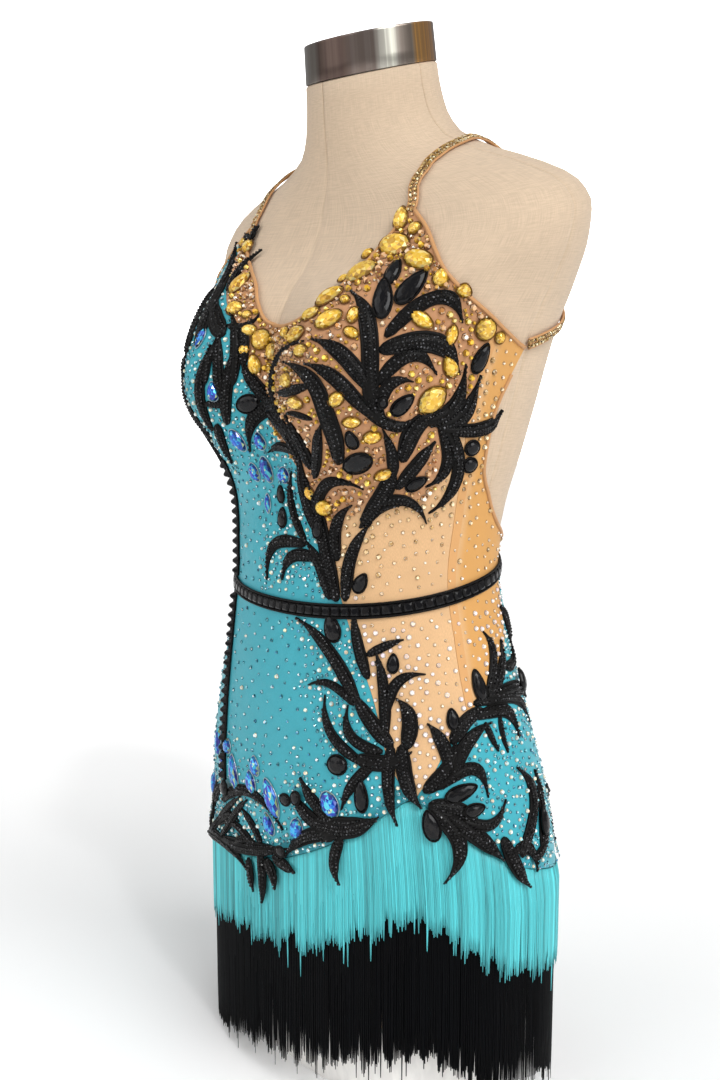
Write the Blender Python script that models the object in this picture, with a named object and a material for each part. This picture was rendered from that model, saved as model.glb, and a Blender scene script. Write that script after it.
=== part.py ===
"""Salsa dance dress on a limbless dress form.

The wearer faces -Y, +X is the wearer's left and +Z is up. The origin is the
middle of the form's flat underside. Every piece of cloth follows one surface,
the form's own, and is lifted off it. A place on that surface is given by an
angle (0 at the centre front, positive towards the wearer's left) and a level
(metres above the waist), or on the flat cutting chart by an arc from the
centre front and a level, both in millimetres.
"""
import math

import bmesh
import bpy
import numpy as np
from mathutils import Vector
from mathutils.geometry import delaunay_2d_cdt

COLLECTION = "salsa_dance_dress"
MM = 0.001

# ---------------------------------------------------------------- the form
WAIST_HEIGHT = 0.430
NECK_TILT = 0.25            # slope of the neck's plane, the front edge lower
NECK_DROP = 0.008
TILT_FROM, TILT_OVER = 0.22, 0.09
NECK_TOP, CAP_TOP = 0.4150, 0.4450
RING_STEPS = 48             # facets round the form, and the cloth's grid

# level, half width, front depth, back depth, centre y, roundness power
FORM_ROWS = np.array([
    (-0.430, 0.128, 0.076, 0.086, 0.008, 2.20),
    (-0.370, 0.150, 0.090, 0.108, 0.008, 2.20),
    (-0.310, 0.168, 0.100, 0.127, 0.007, 2.15),
    (-0.245, 0.174, 0.105, 0.130, 0.005, 2.10),
    (-0.175, 0.167, 0.105, 0.120, 0.003, 2.10),
    (-0.110, 0.153, 0.101, 0.105, 0.001, 2.10),
    (-0.050, 0.135, 0.096, 0.093, 0.000, 2.10),
    (+0.015, 0.122, 0.092, 0.087, 0.000, 2.10),
    (+0.060, 0.126, 0.094, 0.091, 0.004, 2.10),
    (+0.110, 0.138, 0.100, 0.099, 0.009, 2.10),
    (+0.155, 0.148, 0.105, 0.105, 0.014, 2.10),
    (+0.200, 0.159, 0.104, 0.108, 0.018, 2.15),
    (+0.240, 0.175, 0.096, 0.106, 0.023, 2.20),
    (+0.270, 0.187, 0.087, 0.100, 0.025, 2.30),
    (+0.293, 0.191, 0.080, 0.093, 0.026, 2.30),
    (+0.312, 0.183, 0.073, 0.084, 0.025, 2.20),
    (+0.330, 0.150, 0.066, 0.073, 0.022, 2.10),
    (+0.346, 0.103, 0.060, 0.064, 0.018, 2.00),
    (+0.361, 0.072, 0.056, 0.058, 0.014, 2.00),
    (+0.380, 0.059, 0.054, 0.055, 0.010, 2.00),
    (+0.410, 0.054, 0.052, 0.052, 0.006, 2.00),
    (+0.445, 0.053, 0.051, 0.051, 0.002, 2.00),
])
BUST_X, BUST_LEVEL, BUST_RISE = 0.090, 0.160, 0.052
BUST_SPREAD, BUST_ABOVE, BUST_BELOW = 0.050, 0.060, 0.040

# Levels that the form and the cloth are both sampled at.
LEVELS = (-0.245, -0.215, -0.180, -0.140, -0.100, -0.065, -0.030, -0.004, 0.018, 0.040, 0.066,
          0.090, 0.105, 0.120, 0.136, 0.154, 0.172, 0.190, 0.210, 0.234, 0.262, 0.290)
FORM_LOW_LEVELS = (-0.430, -0.365, -0.300)
FORM_HIGH_LEVELS = (0.309, 0.322, 0.333, 0.343, 0.354, 0.372, NECK_TOP)

# ---------------------------------------------------------------- the cloth
CLOTH_LIFT = 1.2 * MM       # from the form to the inside of the cloth
CLOTH_WALL = 1.2 * MM
CLOTH_FACET = 17.5 * MM
GRID_MARGIN = 5.5 * MM
SEAM_GAP = 0.3 * MM
SIDE_SEAM = 76.0            # degrees from the centre front
BELT_LEVEL, BELT_SLOPE = 0.003, 0.20
BELT_WIDTH, BELT_WALL = 12.0 * MM, 1.6 * MM
TRIM_LIFT = CLOTH_LIFT + CLOTH_WALL + 0.4 * MM
BELT_LIFT = TRIM_LIFT + 0.4 * MM

# angle, level of the hem
HEM = np.array([
    (-180, -0.238), (-50, -0.240), (-15, -0.236), (0, -0.228), (10, -0.215), (22, -0.197),
    (32, -0.181), (42, -0.163), (50, -0.152), (58, -0.163), (66, -0.178), (75, -0.190),
    (85, -0.205), (100, -0.220), (130, -0.236), (180, -0.238),
])
# level, angle of the seam from the right strap to the hem, gold or nude on its left
FRONT_SEAM = np.array([
    (0.312, -30), (0.288, -31), (0.261, -28), (0.226, -19), (0.209, -13.5), (0.190, -8.5),
    (0.170, -5), (0.152, -2), (0.133, 0), (0.118, 5), (0.099, 11.5), (0.078, 16.5),
    (0.058, 20.5), (0.034, 24.5), (0.000, 29), (-0.035, 34), (-0.079, 40), (-0.123, 43),
    (-0.1505, 49),
])
# level, angle of the seam where the hip's turquoise meets the nude
HIP_SEAM = np.array([
    (-0.1505, 51), (-0.133, 58), (-0.100, 70), (-0.081, 83), (-0.044, 110), (0.012, 124),
])
HIP_TOP = 124.0             # degrees, where the hip's seam meets the belt
HALF_SEAM = 0.15 * MM
HALF_TURN = 0.08            # degrees that make half a seam's gap on these rings
# angle, level down the neckline from one strap to the other
NECKLINE = np.array([
    (-30, 0.312), (-24, 0.290), (-17, 0.268), (-11, 0.243), (-7, 0.222), (-2, 0.207),
    (7, 0.204), (19, 0.213), (23, 0.229), (22, 0.262), (23, 0.290), (28, 0.312),
])
# angle, level from the strap along the armhole to its corner, on the left
ARMHOLE = np.array([(31, 0.312), (36, 0.290), (45, 0.259), (59, 0.230), (75, 0.209), (90, 0.189)])
# angle, level from the armhole's corner down the open back, on the left
BACK_EDGE = np.array([
    (88, 0.169), (86, 0.149), (85, 0.118), (86, 0.096), (91, 0.078), (100, 0.058),
    (116, 0.042), (140, 0.032), (180, 0.028),
])
# angle, level along a strap, from the bodice over the shoulder to the other side
STRAP_ROUTE = np.array([
    (29.5, 0.3125), (35, 0.3275), (48, 0.339), (66, 0.347), (90, 0.3515), (112, 0.352),
    (132, 0.3455), (148, 0.3345), (160, 0.319), (171, 0.298), (180, 0.277), (190, 0.258),
    (202, 0.241), (218, 0.2255), (240, 0.2085), (268.5, 0.1915),
])
STRAP_WIDTH, STRAP_WALL = 9.0 * MM, 1.8 * MM
STRAP_LIFT = 1.3 * MM
STRAP_SECTIONS = 54
STRAP_CROSS_LIFT = 2.4 * MM     # the right strap passes over the left one
TRIM_ARC, TRIM_WIDTH = -80.0 * MM, 9.0 * MM
TRIM_TOP, TRIM_BOTTOM = 0.097, -0.183

# ---------------------------------------------------------------- the fringe
WIDEST_LEVEL, BULGE_LEVEL = -0.245, -0.200
STRIP_HEIGHT = 6.0 * MM
STRIP_GAP = 1.8 * MM        # below the cloth's edge
FRINGE_WALL = 1.2 * MM
END_SHARE = 0.6             # how much of its width a strand keeps at its end
# angle, level of the turquoise fringe's ends, level of the black fringe's ends
FRINGE_ENDS = np.array([
    (-180, -0.318, -0.420), (-45, -0.318, -0.424), (10, -0.292, -0.392), (50, -0.242, -0.357),
    (80, -0.289, -0.386), (130, -0.318, -0.414), (180, -0.318, -0.420),
])
# name, strands, lift at the root, lift at the widest level, share of its pitch, column of ends
FRINGES = (
    ("fringe_black", 110, 1.2 * MM, 2.0 * MM, 0.66, 2),
    ("fringe_turquoise", 98, 3.0 * MM, 5.0 * MM, 0.62, 1),
)

# ---------------------------------------------------------------- the applique
# Each stroke is a padded leaf: base arc, base level, tip arc, tip level, bend, width (mm).
# The bend is how far its middle stands to the left of the line from base to tip.
BODICE_LEAVES = (
    # left bust, on one upright stem
    (131, 150, 85, 233, -14, 13), (130, 148, 64, 174, -9, 15), (122, 156, 158, 137, -9, 12),
    (126, 165, 66, 195, -10, 13), (122, 198, 182, 207, 19, 13), (127, 183, 193, 168, 20, 13),
    (130, 165, 178, 167, 14, 12), (132, 154, 161, 164, 4, 7),
    # left side, curling up to the armhole and down to the waist
    (124, 104, 200, 150, 9, 14), (192, 142, 194, 180, 3, 8), (197, 146, 213, 195, -3, 12),
    (159, 131, 236, 142, -7, 13), (168, 128, 134, 64, 12, 10), (166, 112, 131, 86, 5, 8),
    (98, 72, 122, 130, -6, 12), (117, 93, 163, 121, 0, 8), (96, 66, 132, 57, 12, 10),
    (168, 118, 192, 116, 0, 10), (162, 104, 184, 101, 0, 11),
    # centre, two stems that rise from the belt
    (67, 0, 100, 80, 9, 13), (57, -4, 52, 60, -2, 13), (70, 85, 48, 176, -28, 17),
    (52, 100, 44, 190, 28, 10), (56, 40, 40, 150, 8, 18), (55, 32, -18, 4, -27, 12),
    (56, 18, 4, 5, -15, 8), (48, 36, 4, 78, 6, 11), (50, 46, 20, 88, 4, 8),
    (46, 70, 88, 85, 13, 9), (35, 122, -8, 128, -6, 12), (60, 70, 76, 110, -4, 12),
    # right bust, up to the strap
    (-95, 200, -84, 303, 12, 14), (-100, 262, -66, 284, 4, 9), (-66, 188, -24, 214, -4, 11),
    (-8, 118, -44, 206, 0, 15), (6, 128, -22, 168, 2, 16), (-60, 128, -80, 212, -6, 14),
    (-46, 122, -58, 188, 4, 9), (-70, 160, -94, 106, 4, 14), (-8, 122, -64, 130, 8, 12),
    (-62, 190, -100, 206, 3, 12),
)
SKIRT_LEAVES = (
    # from the belt down the front to the hem
    (74, -23, 137, -153, -9, 17), (85, -68, 21, -27, -4, 14), (76, -46, 56, -25, 2, 14),
    (84, -50, 121, -32, 5, 8), (100, -84, 137, -60, 8, 9), (138, -149, 115, -78, -3, 12),
    (88, -85, 38, -72, -8, 9), (90, -125, 57, -80, 10, 11), (108, -120, 76, -88, 7, 8),
    (120, -118, 62, -133, 0, 15), (100, -128, 92, -166, 2, 13), (92, -132, 75, -165, -4, 8),
    (112, -125, 126, -173, -3, 12),
    # the hip on the wearer's left
    (148, -150, 141, -95, -13, 9), (160, -134, 230, -112, 28, 14), (197, -92, 203, -118, 0, 7),
    (206, -90, 215, -118, 0, 7), (158, -110, 166, -84, 0, 10), (187, -99, 184, -56, 0, 12),
    (195, -88, 190, -32, -10, 13), (205, -62, 216, -10, 0, 14), (200, -85, 246, -58, 4, 13),
    (195, -88, 256, -96, 4, 11), (148, -143, 198, -153, 20, 12), (150, -156, 188, -146, 3, 13),
    (150, -158, 206, -170, 3, 12), (156, -158, 238, -208, -4, 15), (164, -160, 161, -214, 9, 12),
    (158, -158, 148, -186, 0, 16), (230, -200, 222, -130, -8, 14), (236, -202, 262, -162, 0, 15),
    (226, -200, 200, -178, -4, 12), (228, -200, 228, -229, 0, 10), (235, -200, 260, -226, 0, 12),
    (140, -150, 160, -156, 0, 10),
)
HEM_LEAVES = (
    # the hem on the wearer's right
    (62, -190, 34, -151, 8, 14), (50, -182, 110, -168, -8, 14), (75, -183, 16, -222, -2, 13),
    (76, -186, 76, -226, -5, 11), (30, -211, 22, -164, 8, 13), (-6, -225, -60, -190, -6, 12),
    (22, -220, -88, -226, 5, 14), (-2, -218, 28, -237, 0, 10), (-8, -222, -12, -262, 0, 11),
    (-15, -222, -60, -249, 0, 12), (-60, -225, -112, -246, 0, 14), (12, -219, -36, -176, -3, 9),
    (-84, -228, -102, -190, -4, 15),
)
# The same leaves as the right hem's, turned round to the centre back.
BACK_LEAVES = tuple((400 - row[0], row[1], 400 - row[2], row[3], -row[4], row[5])
                    for row in HEM_LEAVES[:9])
DRAPE_DROP = 25.0 * MM
LEAF_EDGE, LEAF_CROWN = 0.9 * MM, 2.8 * MM
HANG_LIFT, DRAPE_LIFT = 2.7 * MM, 3.2 * MM   # clear of the fringe below the hem

# name, leaves, clearance that the wide facets need over the curve under them
APPLIQUES = (
    ("applique_bodice", BODICE_LEAVES, 1.6 * MM),
    ("applique_skirt", SKIRT_LEAVES, 0.4 * MM),
    ("applique_hem", HEM_LEAVES, 0.2 * MM),
    ("applique_back", BACK_LEAVES, 0.2 * MM),
)

LINEN = ((0.80, 0.70, 0.56), 0.85, 0.0)
STEEL = ((0.55, 0.52, 0.50), 0.30, 1.0)
TURQUOISE = ((0.05, 0.45, 0.55), 0.45, 0.0)
NUDE = ((0.78, 0.50, 0.28), 0.60, 0.0)
BLACK = ((0.012, 0.012, 0.014), 0.40, 0.0)


# ---------------------------------------------------------------- the surface
def column_slopes(levels, values):
    """Monotone cubic slopes, so that no section overshoots its rows."""
    steps = np.diff(levels)
    rates = np.diff(values) / steps
    slopes = np.zeros_like(values)
    slopes[0] = rates[0]
    slopes[-1] = rates[-1]
    for i in range(1, len(levels) - 1):
        if rates[i - 1] * rates[i] > 0:
            near = 2 * steps[i] + steps[i - 1]
            far = steps[i] + 2 * steps[i - 1]
            slopes[i] = (near + far) / (near / rates[i - 1] + far / rates[i])
    return slopes


ROW_LEVELS = FORM_ROWS[:, 0]
ROW_SLOPES = [column_slopes(ROW_LEVELS, FORM_ROWS[:, k]) for k in range(6)]


def row_value(level, column):
    values = FORM_ROWS[:, column]
    slopes = ROW_SLOPES[column]
    level = np.clip(level, ROW_LEVELS[0], ROW_LEVELS[-1])
    i = np.clip(np.searchsorted(ROW_LEVELS, level, side="right") - 1, 0, len(ROW_LEVELS) - 2)
    step = ROW_LEVELS[i + 1] - ROW_LEVELS[i]
    t = (level - ROW_LEVELS[i]) / step
    start = values[i] * (1 + 2 * t) * (1 - t) ** 2 + slopes[i] * step * t * (1 - t) ** 2
    end = values[i + 1] * t * t * (3 - 2 * t) + slopes[i + 1] * step * t * t * (t - 1)
    return start + end


def form_point(angle, level):
    """Points of the form's surface; angle in degrees, level above the waist."""
    angle, level = np.broadcast_arrays(np.radians(angle), np.asarray(level, float))
    power = 2 / row_value(level, 5)
    sine, cosine = np.sin(angle), np.cos(angle)
    centre = row_value(level, 4)
    depth = np.where(cosine > 0, row_value(level, 2), row_value(level, 3))
    x = row_value(level, 1) * np.sign(sine) * np.abs(sine) ** power
    y = centre - depth * np.sign(cosine) * np.abs(cosine) ** power
    spread = np.where(level > BUST_LEVEL, BUST_ABOVE, BUST_BELOW)
    across = ((np.abs(x) - BUST_X) / BUST_SPREAD) ** 2
    along = ((level - BUST_LEVEL) / spread) ** 2
    y = y - BUST_RISE * np.exp(-0.5 * (across + along)) * np.clip(cosine, 0, 1) ** 0.6
    lean = np.clip((level - TILT_FROM) / TILT_OVER, 0, 1)
    tilt = NECK_TILT * lean * lean * (3 - 2 * lean)
    z = WAIST_HEIGHT + level - NECK_DROP * lean + tilt * (y - centre)
    return np.stack([x, y, z], -1)


def form_normal(angle, level):
    turn, rise = 0.1, 0.001
    round_it = form_point(angle + turn, level) - form_point(angle - turn, level)
    up_it = form_point(angle, level + rise) - form_point(angle, level - rise)
    normal = np.cross(round_it, up_it)
    return normal / np.linalg.norm(normal, axis=-1, keepdims=True)


def lifted(angle, level, lift):
    angle = np.asarray(angle, float)
    level = np.asarray(level, float)
    lift = np.asarray(lift, float)
    return form_point(angle, level) + form_normal(angle, level) * lift[..., None]


CHART_ANGLES = np.arange(-180.0, 361.0, 2.0)


def angle_of_arc(arc, level):
    """The angle at an arc, in metres round from the centre front, at one level."""
    ring = form_point(CHART_ANGLES, level)
    lengths = np.concatenate([[0], np.cumsum(np.linalg.norm(np.diff(ring, axis=0), axis=1))])
    lengths -= np.interp(0.0, CHART_ANGLES, lengths)
    return float(np.interp(arc, lengths, CHART_ANGLES))


def hem_level(angle):
    turned = (np.asarray(angle, float) + 180) % 360 - 180
    return np.interp(turned, HEM[:, 0], HEM[:, 1])


def belt_level(angle):
    return BELT_LEVEL + BELT_SLOPE * form_point(angle, 0.0)[..., 1]


# ---------------------------------------------------------------- making solids
def material(name, finish):
    colour, roughness, metallic = finish
    made = bpy.data.materials.new(name)
    made.use_nodes = True
    shader = made.node_tree.nodes["Principled BSDF"]
    shader.inputs["Base Color"].default_value = (*colour, 1)
    shader.inputs["Roughness"].default_value = roughness
    shader.inputs["Metallic"].default_value = metallic
    return made


def solid(name, points, faces, finish):
    mesh = bpy.data.meshes.new(name)
    mesh.from_pydata([tuple(map(float, p)) for p in points], [], faces)
    shape = bmesh.new()
    shape.from_mesh(mesh)
    bmesh.ops.recalc_face_normals(shape, faces=shape.faces)
    shape.to_mesh(mesh)
    shape.free()
    mesh.shade_smooth()
    mesh.set_sharp_from_angle(angle=math.radians(40))
    mesh.materials.append(material(name, finish))
    made = bpy.data.objects.new(name, mesh)
    bpy.data.collections[COLLECTION].objects.link(made)
    return made


def ring_loft(name, rings, finish, closed=False):
    """A solid through rings of points, capped at both ends or joined end to end."""
    count = len(rings[0])
    points = np.concatenate(rings)
    spans = len(rings) if closed else len(rings) - 1
    faces = []
    for i in range(spans):
        low = i * count
        high = (i + 1) % len(rings) * count
        for k in range(count):
            after = (k + 1) % count
            faces.append((low + k, low + after, high + after, high + k))
    if not closed:
        faces.append(tuple(range(count - 1, -1, -1)))
        faces.append(tuple(range(len(points) - count, len(points))))
    return solid(name, points, faces, finish)


def triangles_inside(outlines, inner):
    """Triangulates the union of flat outlines, with the inner points as corners too."""
    corners = []
    faces = []
    for outline in outlines:
        faces.append(list(range(len(corners), len(corners) + len(outline))))
        corners.extend(outline)
    corners.extend(inner)
    flat = [Vector(p) for p in corners]
    points, _, cells, _, _, owners = delaunay_2d_cdt(flat, [], faces, 0, 1e-7)
    kept = [tuple(c) for c, owner in zip(cells, owners) if owner]
    used = sorted({i for cell in kept for i in cell})
    order = {old: new for new, old in enumerate(used)}
    return np.array([points[i][:] for i in used]), [tuple(order[i] for i in c) for c in kept]


def wall_from_flat(name, cells, inside, outside, finish):
    """A closed wall between two sheets of points that share the same cells."""
    count = len(inside)
    edges = {}
    for a, b, c in cells:
        for edge in ((a, b), (b, c), (c, a)):
            edges[edge] = True
    rims = [edge for edge in edges if (edge[1], edge[0]) not in edges]
    faces = [tuple(i + count for i in cell) for cell in cells]
    faces += [tuple(reversed(cell)) for cell in cells]
    for a, b in rims:
        faces.append((a, b, b + count, a + count))
    return solid(name, np.concatenate([inside, outside]), faces, finish)


# ---------------------------------------------------------------- dress form
def make_form():
    angles = np.arange(RING_STEPS) * 360.0 / RING_STEPS
    levels = FORM_LOW_LEVELS + LEVELS + FORM_HIGH_LEVELS
    rings = [form_point(angles, level) for level in levels]
    ring_loft("dress_form_torso", rings, LINEN)
    cap_levels = (NECK_TOP + SEAM_GAP, CAP_TOP)
    ring_loft("dress_form_neck_cap", [form_point(angles, level) for level in cap_levels], STEEL)


# ---------------------------------------------------------------- cloth panels
ANGLE_SCALE = 0.0022        # metres of flat chart to a degree, for even triangles


def flat(angle, level):
    return (float(angle) * ANGLE_SCALE, float(level))


def grid_inside(outline, margin):
    """The form's own grid points that fall inside a flat outline, clear of its edge."""
    outline = np.array(outline)
    step = 360.0 / RING_STEPS
    found = []
    for k in range(-RING_STEPS, 2 * RING_STEPS):
        for level in LEVELS:
            point = np.array(flat(k * step, level))
            if inside_outline(point, outline) and edge_distance(point, outline) > margin:
                found.append(tuple(point))
    return found


def inside_outline(point, outline):
    following = np.roll(outline, -1, axis=0)
    crosses = (outline[:, 1] > point[1]) != (following[:, 1] > point[1])
    rise = np.where(crosses, following[:, 1] - outline[:, 1], 1.0)
    reach = outline[:, 0] + (point[1] - outline[:, 1]) * (following[:, 0] - outline[:, 0]) / rise
    return np.count_nonzero(crosses & (point[0] < reach)) % 2 == 1


def edge_distance(point, outline):
    following = np.roll(outline, -1, axis=0)
    along = following - outline
    share = np.sum((point - outline) * along, axis=1) / np.maximum(np.sum(along * along, axis=1), 1e-12)
    nearest = outline + np.clip(share, 0, 1)[:, None] * along
    return np.min(np.linalg.norm(point - nearest, axis=1))


def run(rows, shift_angle=0.0, shift_level=0.0, mirror=False, back=False):
    """Flat points of a table of (angle, level), moved off a seam by half its gap."""
    side = -1 if mirror else 1
    points = [flat(side * (a + shift_angle), s + shift_level) for a, s in rows]
    return points[::-1] if back else points


def grid_angles(start, stop):
    """The start, every grid angle between and the stop, in degrees."""
    step = 360.0 / RING_STEPS
    first = math.floor(start / step) + 1
    last = math.ceil(stop / step) - 1
    between = [k * step for k in range(first, last + 1)]
    kept = [a for a in between if a - start > 1.5 and stop - a > 1.5]
    return [start] + kept + [stop]


def seam_rows(seam, low, high):
    """Rows (angle, level) of a seam table of (level, angle) between two levels."""
    table = seam[np.argsort(seam[:, 0])]
    levels = [low] + [s for s in LEVELS if low + 0.004 < s < high - 0.004] + [high]
    return [(float(np.interp(s, table[:, 0], table[:, 1])), s) for s in levels]


def seam_at_belt():
    """The front seam's angle where it crosses the belt, in degrees."""
    return float(np.interp(0.0, FRONT_SEAM[::-1, 0], FRONT_SEAM[::-1, 1]))


def belt_run(start, stop, above):
    shift = HALF_SEAM if above else -HALF_SEAM
    return [flat(a, belt_level(a) + shift) for a in grid_angles(start, stop)]


def hem_run(start, stop):
    turns = [a for a in np.concatenate([HEM[:, 0], HEM[1:, 0] + 360]) if start + 1 < a < stop - 1]
    grid = [a for a in grid_angles(start, stop) if all(abs(a - t) > 2.5 for t in turns)]
    return [flat(a, hem_level(a)) for a in sorted(set(grid) | set(turns) | {start, stop})]


def divided(outline):
    """The same outline with no side longer than the cloth's longest facet."""
    points = []
    for start, stop in zip(outline, outline[1:] + outline[:1]):
        parts = max(1, math.ceil(math.dist(start, stop) / CLOTH_FACET))
        for i in range(parts):
            share = i / parts
            points.append((start[0] + (stop[0] - start[0]) * share,
                           start[1] + (stop[1] - start[1]) * share))
    return points


def panel(name, outline, finish):
    outline = divided(outline)
    inner = grid_inside(outline, GRID_MARGIN)
    points, cells = triangles_inside([outline], inner)
    angles, levels = points[:, 0] / ANGLE_SCALE, points[:, 1]
    inside = lifted(angles, levels, np.full(len(points), CLOTH_LIFT))
    outside = lifted(angles, levels, np.full(len(points), CLOTH_LIFT + CLOTH_WALL))
    wall_from_flat(name, cells, inside, outside, finish)


def make_bodice():
    seam_angle = seam_at_belt()
    seam_level = belt_level(np.float64(seam_angle)) + HALF_SEAM
    front = seam_rows(FRONT_SEAM, seam_level, FRONT_SEAM[0, 0])
    front[0] = (seam_angle, seam_level)
    # gold: belt, side seam, armhole, neckline, front seam
    side_low = float(belt_level(np.float64(SIDE_SEAM))) + HALF_SEAM
    side_high = float(np.interp(SIDE_SEAM, ARMHOLE[:, 0], ARMHOLE[:, 1]))
    side = [(SIDE_SEAM, s) for s in LEVELS if side_low + 0.004 < s < side_high - 0.004]
    side.append((SIDE_SEAM, side_high))
    left_armhole = [row for row in ARMHOLE if row[0] < SIDE_SEAM - 4]
    outline = belt_run(seam_angle + HALF_TURN, SIDE_SEAM - HALF_TURN, True)
    outline += run(side, -HALF_TURN)
    outline += run(left_armhole, back=True)
    outline += run(NECKLINE[1:], back=True)
    outline += run(front, HALF_TURN, back=True)[:-1]
    panel("bodice_front_gold", outline, NUDE)
    # turquoise: belt, front seam, armhole, side seam
    outline = belt_run(-SIDE_SEAM + HALF_TURN, seam_angle - HALF_TURN, True)
    outline += run(front, -HALF_TURN)[1:]
    outline += run(left_armhole, mirror=True)
    outline += run(side, -HALF_TURN, mirror=True, back=True)
    panel("bodice_front_turquoise", outline, TURQUOISE)
    # the two back pieces, low and open, meet at the centre back
    for name, mirror, finish in (("bodice_back_left", False, NUDE),
                                 ("bodice_back_right", True, TURQUOISE)):
        top = [(SIDE_SEAM, side_high)] + [tuple(row) for row in ARMHOLE if row[0] > SIDE_SEAM + 4]
        edge = top + [tuple(row) for row in BACK_EDGE]
        edge[-1] = (180 - HALF_TURN, edge[-1][1])
        belt = [(a, belt_level(a) + HALF_SEAM) for a in grid_angles(SIDE_SEAM, 180)]
        belt[-1] = (180 - HALF_TURN, belt[-1][1])
        outline = run([(a + (HALF_TURN if k == 0 else 0), s) for k, (a, s) in enumerate(belt)],
                      mirror=mirror)
        outline += run(edge[1:], mirror=mirror, back=True)
        outline += run(side, HALF_TURN, mirror=mirror, back=True)
        panel(name, outline[::-1] if mirror else outline, finish)


def make_skirt():
    seam_angle = seam_at_belt()
    seam_level = belt_level(np.float64(seam_angle)) - HALF_SEAM
    front = seam_rows(FRONT_SEAM, FRONT_SEAM[-1, 0], seam_level)
    front[-1] = (seam_angle, seam_level)
    front[0] = (FRONT_SEAM[-1, 1], float(hem_level(FRONT_SEAM[-1, 1])))
    hip_level = float(belt_level(np.float64(HIP_TOP))) - HALF_SEAM
    hip = seam_rows(HIP_SEAM, HIP_SEAM[0, 0], hip_level)
    hip[-1] = (HIP_TOP, hip_level)
    hip[0] = (HIP_SEAM[0, 1], float(hem_level(HIP_SEAM[0, 1])))
    side_cross = float(np.interp(SIDE_SEAM, HIP_SEAM[:, 1], HIP_SEAM[:, 0]))
    side_top = float(belt_level(np.float64(SIDE_SEAM))) - HALF_SEAM
    side = [(SIDE_SEAM, s) for s in LEVELS if side_cross + 0.012 < s < side_top - 0.004]
    # turquoise front, from the side seam on the right to the front seam
    outline = hem_run(-SIDE_SEAM + HALF_TURN, front[0][0] - HALF_TURN)
    outline += run(front[1:], -HALF_TURN)
    outline += belt_run(-SIDE_SEAM + HALF_TURN, seam_angle - HALF_TURN, False)[::-1][1:]
    right_side = [(-SIDE_SEAM + HALF_TURN, s) for s in LEVELS
                  if float(hem_level(-SIDE_SEAM)) + 0.004 < s < side_top - 0.004]
    outline += run(right_side, back=True)
    panel("skirt_front_turquoise", outline, TURQUOISE)
    # nude front, a long triangle with its point at the hem
    low_hip = [row for row in hip if row[1] < side_cross - 0.006]
    outline = run([(front[0][0], front[0][1]), (hip[0][0], hip[0][1])], 0.0)
    outline[0] = flat(front[0][0] + HALF_TURN, front[0][1])
    outline[1] = flat(hip[0][0] - HALF_TURN, hip[0][1])
    outline += run(low_hip[1:], -HALF_TURN)
    outline.append(flat(SIDE_SEAM - HALF_TURN, side_cross))
    outline += run(side, -HALF_TURN)
    outline += belt_run(seam_angle + HALF_TURN, SIDE_SEAM - HALF_TURN, False)[::-1]
    outline += run(front[1:-1], HALF_TURN, back=True)
    panel("skirt_front_nude", outline, NUDE)
    # nude side, from the side seam to the hip seam
    high_hip = [row for row in hip if row[1] > side_cross + 0.006]
    outline = [flat(SIDE_SEAM + HALF_TURN, side_cross + 0.6 * MM)]
    outline += run(high_hip[:-1], -2 * HALF_TURN)
    outline += belt_run(SIDE_SEAM + HALF_TURN, HIP_TOP - 2 * HALF_TURN, False)[::-1]
    outline += run(side, HALF_TURN, back=True)
    panel("skirt_side_nude", outline, NUDE)
    # turquoise back in two pieces that meet at the centre back
    back_rows = [(180 - HALF_TURN, s) for s in LEVELS
                 if float(hem_level(180)) + 0.004 < s < float(belt_level(np.float64(180))) - 0.006]
    outline = hem_run(hip[0][0] + HALF_TURN, 180 - HALF_TURN)
    outline += run(back_rows)
    outline += belt_run(HIP_TOP + HALF_TURN, 180 - HALF_TURN, False)[::-1]
    outline += run(high_hip[:-1], HALF_TURN, back=True)
    outline.append(flat(SIDE_SEAM + HALF_TURN, side_cross - 0.6 * MM))
    outline += run(low_hip[1:], HALF_TURN, back=True)
    panel("skirt_back_left", outline, TURQUOISE)
    outline = hem_run(180 + HALF_TURN, 360 - SIDE_SEAM - HALF_TURN)
    right_rows = [(360 - SIDE_SEAM - HALF_TURN, row[1]) for row in right_side]
    outline += run(right_rows)
    outline += belt_run(180 + HALF_TURN, 360 - SIDE_SEAM - HALF_TURN, False)[::-1]
    outline += run([(360 - a, s) for a, s in back_rows], back=True)
    panel("skirt_back_right", outline, TURQUOISE)


# ---------------------------------------------------------------- straps and bands
def strap_rows(side):
    """Smooth places along a strap's middle: angles, levels and lifts."""
    places = np.array([form_point(a, s) for a, s in STRAP_ROUTE])
    lengths = np.concatenate([[0], np.cumsum(np.linalg.norm(np.diff(places, axis=0), axis=1))])
    wanted = np.linspace(0, lengths[-1], STRAP_SECTIONS)
    rows = []
    for column in range(2):
        slopes = np.gradient(STRAP_ROUTE[:, column], lengths)
        i = np.clip(np.searchsorted(lengths, wanted, side="right") - 1, 0, len(lengths) - 2)
        step = lengths[i + 1] - lengths[i]
        t = (wanted - lengths[i]) / step
        low, high = STRAP_ROUTE[i, column], STRAP_ROUTE[i + 1, column]
        rows.append(low * (1 + 2 * t) * (1 - t) ** 2 + high * t * t * (3 - 2 * t)
                    + slopes[i] * step * t * (1 - t) ** 2 + slopes[i + 1] * step * t * t * (t - 1))
    angles, levels = rows
    lifts = np.full(STRAP_SECTIONS, STRAP_LIFT)
    if side < 0:
        near = np.exp(-((angles - 180) / 14.0) ** 2)
        lifts = lifts + STRAP_CROSS_LIFT * near
    return side * angles, levels, lifts


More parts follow.
